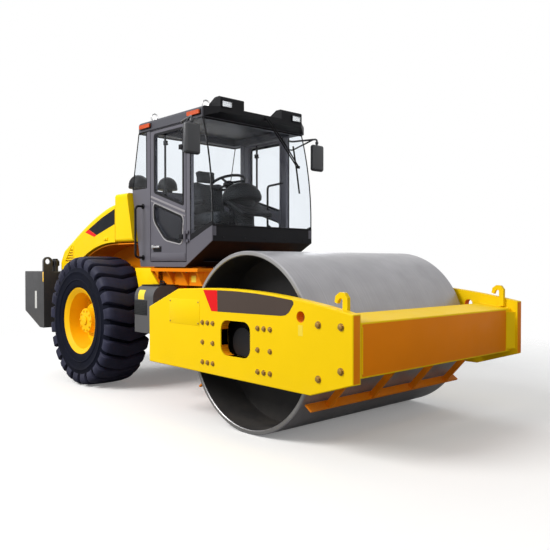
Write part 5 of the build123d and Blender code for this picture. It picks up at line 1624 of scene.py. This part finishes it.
        # The pale ring round the lower pane is painted highlight on the pane's edge.
        rim_highlight = Form().ring(self.pane_bead, Sheet.SIDE, low, high, 0.009, 0.06)
        rim_highlight.piece(f"pane_bead_{word}", PANE_RIM_HIGHLIGHT, body)
        kick = Form().slab(rectangle((-0.3, 1.458), (0.335, 1.535)), Sheet.SIDE, low, high, bevel=0.003)
        kick.piece(f"door_kick_panel_{word}", CAB_GREY, body)
        handle = Form().block((-0.19, out(0.012), 1.602), (0.13, 0.026, 0.03), 0.009, 3)
        handle.rod((-0.255, out(0.0), 1.602), (-0.255, out(0.02), 1.602), 0.024, 24, bevel=0.004)
        handle.piece(f"door_handle_{word}", SILVER, body)
        # The black block behind the handle is the painted shadow of its recess; the two small blocks are fittings.
        dark = Form().block((-0.18, out(0.002), 1.58), (0.15, 0.006, 0.06), 0.002)
        for z in (1.7, 2.62):
            dark.block((0.3, out(0.032), z), (0.06, 0.008, 0.05), 0.003)
        dark.piece(f"door_fittings_{word}", BLACK_PLASTIC, body)

    def dash(self) -> None:
        """Dash dome on its column, with the steering wheel."""
        dome = [
            (0.17, 0.001), (0.165, 0.06), (0.145, 0.12), (0.105, 0.175), (0.05, 0.21), (-0.005, 0.222), (-0.035, 0.215),
            (-0.05, 0.19), (-0.06, 0.15), (-0.13, 0.12), (-0.3, 0.1), (-0.55, 0.12), (-0.66, 0.15), (-0.66, 0.001),
        ]
        form = Form().lathe(dome, (0.4, 0.0, 2.13), (-0.2, 0.0, 0.98), 40)
        form.block((0.52, 0.0, 2.02), (0.34, 0.42, 0.05), 0.02, 3, Matrix.Rotation(0.5, 3, "Y"))
        form.rod((0.167, 0.0, 2.32), (0.36, 0.0, 2.18), 0.03, 24)
        hub, across, up = Vector(self.wheel_hub), Vector(OUT), Vector((0.94, 0.0, 0.34))
        rim = [hub + across * c + up * s for _, c, s in around(16, 0.192)]
        form.tube(rim, 0.015, 0.05, closed=True, fine=4)
        for angle in (0.5, 2.64, 4.71):
            end = hub + (across * math.cos(angle) + up * math.sin(angle)) * 0.188
            form.rod((0.167, 0.0, 2.318), end, 0.016, 14, 0.011)
        boss = [(0.016, 0.001), (0.014, 0.04), (0.0, 0.058), (-0.03, 0.06), (-0.05, 0.03)]
        form.lathe(boss, (0.167, 0.0, 2.32), (-0.34, 0.0, 0.94), 28)
        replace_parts(form.piece("dash_and_wheel", BLACK_PLASTIC, self.body), "steering_console")

    def floor(self) -> None:
        """Grip beside the left door, and floor mat."""
        grip = Form().tube([(0.125, 0.635, 1.86), (0.125, 0.635, 2.34), (0.38, 0.66, 2.36)], 0.013, 0.04)
        grip.tube([(0.125, 0.635, 1.88), (0.2, 0.655, 1.82), (0.38, 0.66, 1.82)], 0.013)
        grip.piece("cab_grip", BLACK_PAINT, self.body)
        Form().block((-0.02, 0.0, 1.4425), (1.0, 1.1, 0.006), 0.002).piece("floor_mat", RUBBER, self.body)


@dataclass
class Seat:
    """Operator's seat: base, cushion, backrest and headrest."""

    body: str = "rear_frame"
    centre_x: float = 0.027
    floor_z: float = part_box("seat")[0].z
    lean: float = -0.19
    pad_edge: float = 0.13
    pull_in: float = 0.05
    swell: float = 0.024
    channel_place: float = 0.27
    channel_width: float = 0.007
    channel_depth: float = 0.012
    fill: float = 0.8
    voxel: float = 0.006
    pressure: float = 4.0
    frames: int = 20

    def spot(self, along: float, y: float, up: float) -> Spot:
        """A place counted forward from the seat's middle and up from the floor."""
        return (self.centre_x + along, y, self.floor_z + up)

    def build(self) -> None:
        """Make the seat in place of its solid."""
        base = Form()
        for up, size, bevel, steps in (
            (0.03, (0.34, 0.42, 0.05), 0.01, 3),
            (0.2, (0.26, 0.34, 0.3), 0.03, 4),
            *((0.1 + 0.05 * fold, (0.28, 0.36, 0.022), 0.009, 2) for fold in range(5)),
            (0.385, (0.4, 0.44, 0.05), 0.012, 3),
        ):
            base.block(self.spot(0.0, 0.0, up), size, bevel, steps)
        for sign in (1, -1):
            base.block(self.spot(-0.05, sign * 0.29, 0.66), (0.3, 0.055, 0.05), 0.02, 4)
            base.tube([self.spot(-0.17, sign * 0.27, 0.46), self.spot(-0.17, sign * 0.285, 0.64)], 0.014)
        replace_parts(base.piece("seat_base", BLACK_PLASTIC, self.body), "seat")
        self.pad("seat_cushion", self.spot(0.01, 0.0, 0.472), (0.48, 0.5, 0.115), 0.0, 0.016)
        self.pad("seat_back", self.spot(-0.222, 0.0, 0.72), (0.095, 0.44, 0.41), self.lean, 0.014)
        self.pad("seat_headrest", self.spot(-0.274, 0.0, 0.983), (0.07, 0.24, 0.13), self.lean, 0.008)

    def pad(self, name: str, centre: Spot, size: Spot, lean: float, crown: float) -> None:
        """A crowned pad with two sewn channels, its cover swelled by its filling.

        Args:
            name: name of the piece.
            centre: middle of the pad.
            size: lengths before it swells and leans.
            lean: turn about Y in radians.
            crown: height of the crown.
        """
        form = Form()
        bmesh.ops.create_cube(form.bm, size=1.0)
        form.bevel(form.bm.edges[:], self.pad_edge, 2)
        bmesh.ops.subdivide_edges(form.bm, edges=form.bm.edges[:], cuts=2, use_grid_fill=True)
        thin = min(range(3), key=lambda axis: size[axis])
        wide = [axis for axis in range(3) if axis != thin]
        for vert in form.bm.verts:
            share = [vert.co[axis] * 2 for axis in range(3)]
            spot = Vector(vert.co[axis] * size[axis] for axis in range(3))
            full = (1 - share[wide[0]] ** 2) * (1 - share[wide[1]] ** 2)
            spot[thin] += math.copysign(crown * max(0.0, full), share[thin]) if abs(share[thin]) > 0.3 else 0.0
            for axis, other in (wide, wide[::-1]):
                spot[axis] *= 1.0 - self.pull_in * (1 - share[other] ** 2)
            vert.co = spot
        form.bm = self.swelled(form.bm)
        form.bm.normal_update()
        breadth = size[wide[1]]
        for vert in form.bm.verts:
            offset = abs(vert.co[wide[1]]) - self.channel_place * breadth
            groove = math.exp(-((offset / self.channel_width) ** 2)) * max(0.0, abs(vert.normal[thin]) - 0.4)
            vert.co -= vert.normal * self.channel_depth * groove
        form.bm.transform(Matrix.Translation(centre) @ Matrix.Rotation(lean, 4, "Y"))
        pad = form.piece(name, SEAT_CLOTH, self.body, keen=180.0)
        smooth = pad.modifiers.new("soft", "SUBSURF")
        smooth.levels = smooth.render_levels = 1

    def swelled(self, bm: bmesh.types.BMesh) -> bmesh.types.BMesh:
        """A closed mesh after its cover is blown up by a short cloth simulation.

        Args:
            bm: mesh to swell, freed here.

        Returns:
            The swelled mesh.
        """
        scene = bpy.context.scene
        mesh = bpy.data.meshes.new("cover")
        bm.to_mesh(mesh)
        bm.free()
        cover = placed("cover", mesh)
        voxels = cover.modifiers.new("voxels", "REMESH")
        voxels.mode, voxels.voxel_size = "VOXEL", self.voxel
        fine = bpy.data.meshes.new_from_object(cover.evaluated_get(bpy.context.evaluated_depsgraph_get()))
        cover.modifiers.remove(voxels)
        cover.data = fine
        cloth = cover.modifiers.new("filling", "CLOTH")
        cloth.settings.use_pressure, cloth.settings.uniform_pressure_force = True, self.pressure
        cloth.settings.effector_weights.gravity = 0.0
        cloth.point_cache.frame_start, cloth.point_cache.frame_end = 1, self.frames
        for step in range(1, self.frames + 1):
            scene.frame_set(step)
        blown = cover.evaluated_get(bpy.context.evaluated_depsgraph_get()).data
        moves = [after.co - before.co for before, after in zip(fine.vertices, blown.vertices)]
        result = bmesh.new()
        result.from_mesh(fine)
        for vert, move in zip(result.verts, moves):
            vert.co += move.normalized() * min(move.length, self.swell)
        LOG.info("cover swelled by up to %.1f mm", 1000 * max(move.length for move in moves))
        bpy.data.objects.remove(cover)
        for used in (mesh, fine):
            bpy.data.meshes.remove(used)
        scene.frame_set(1)
        return result


def main() -> None:
    """Build the studio and every sub-assembly in order."""
    logging.basicConfig(level=logging.INFO, format="%(message)s")
    Studio().build()
    dress_nodes()
    FrontFrame().build()
    DrumTrim().build()
    for side in Side:
        Wheel(side).build()
    RearBody().build()
    Cab().build()
    Seat().build()


if __name__ == "__main__":
    main()
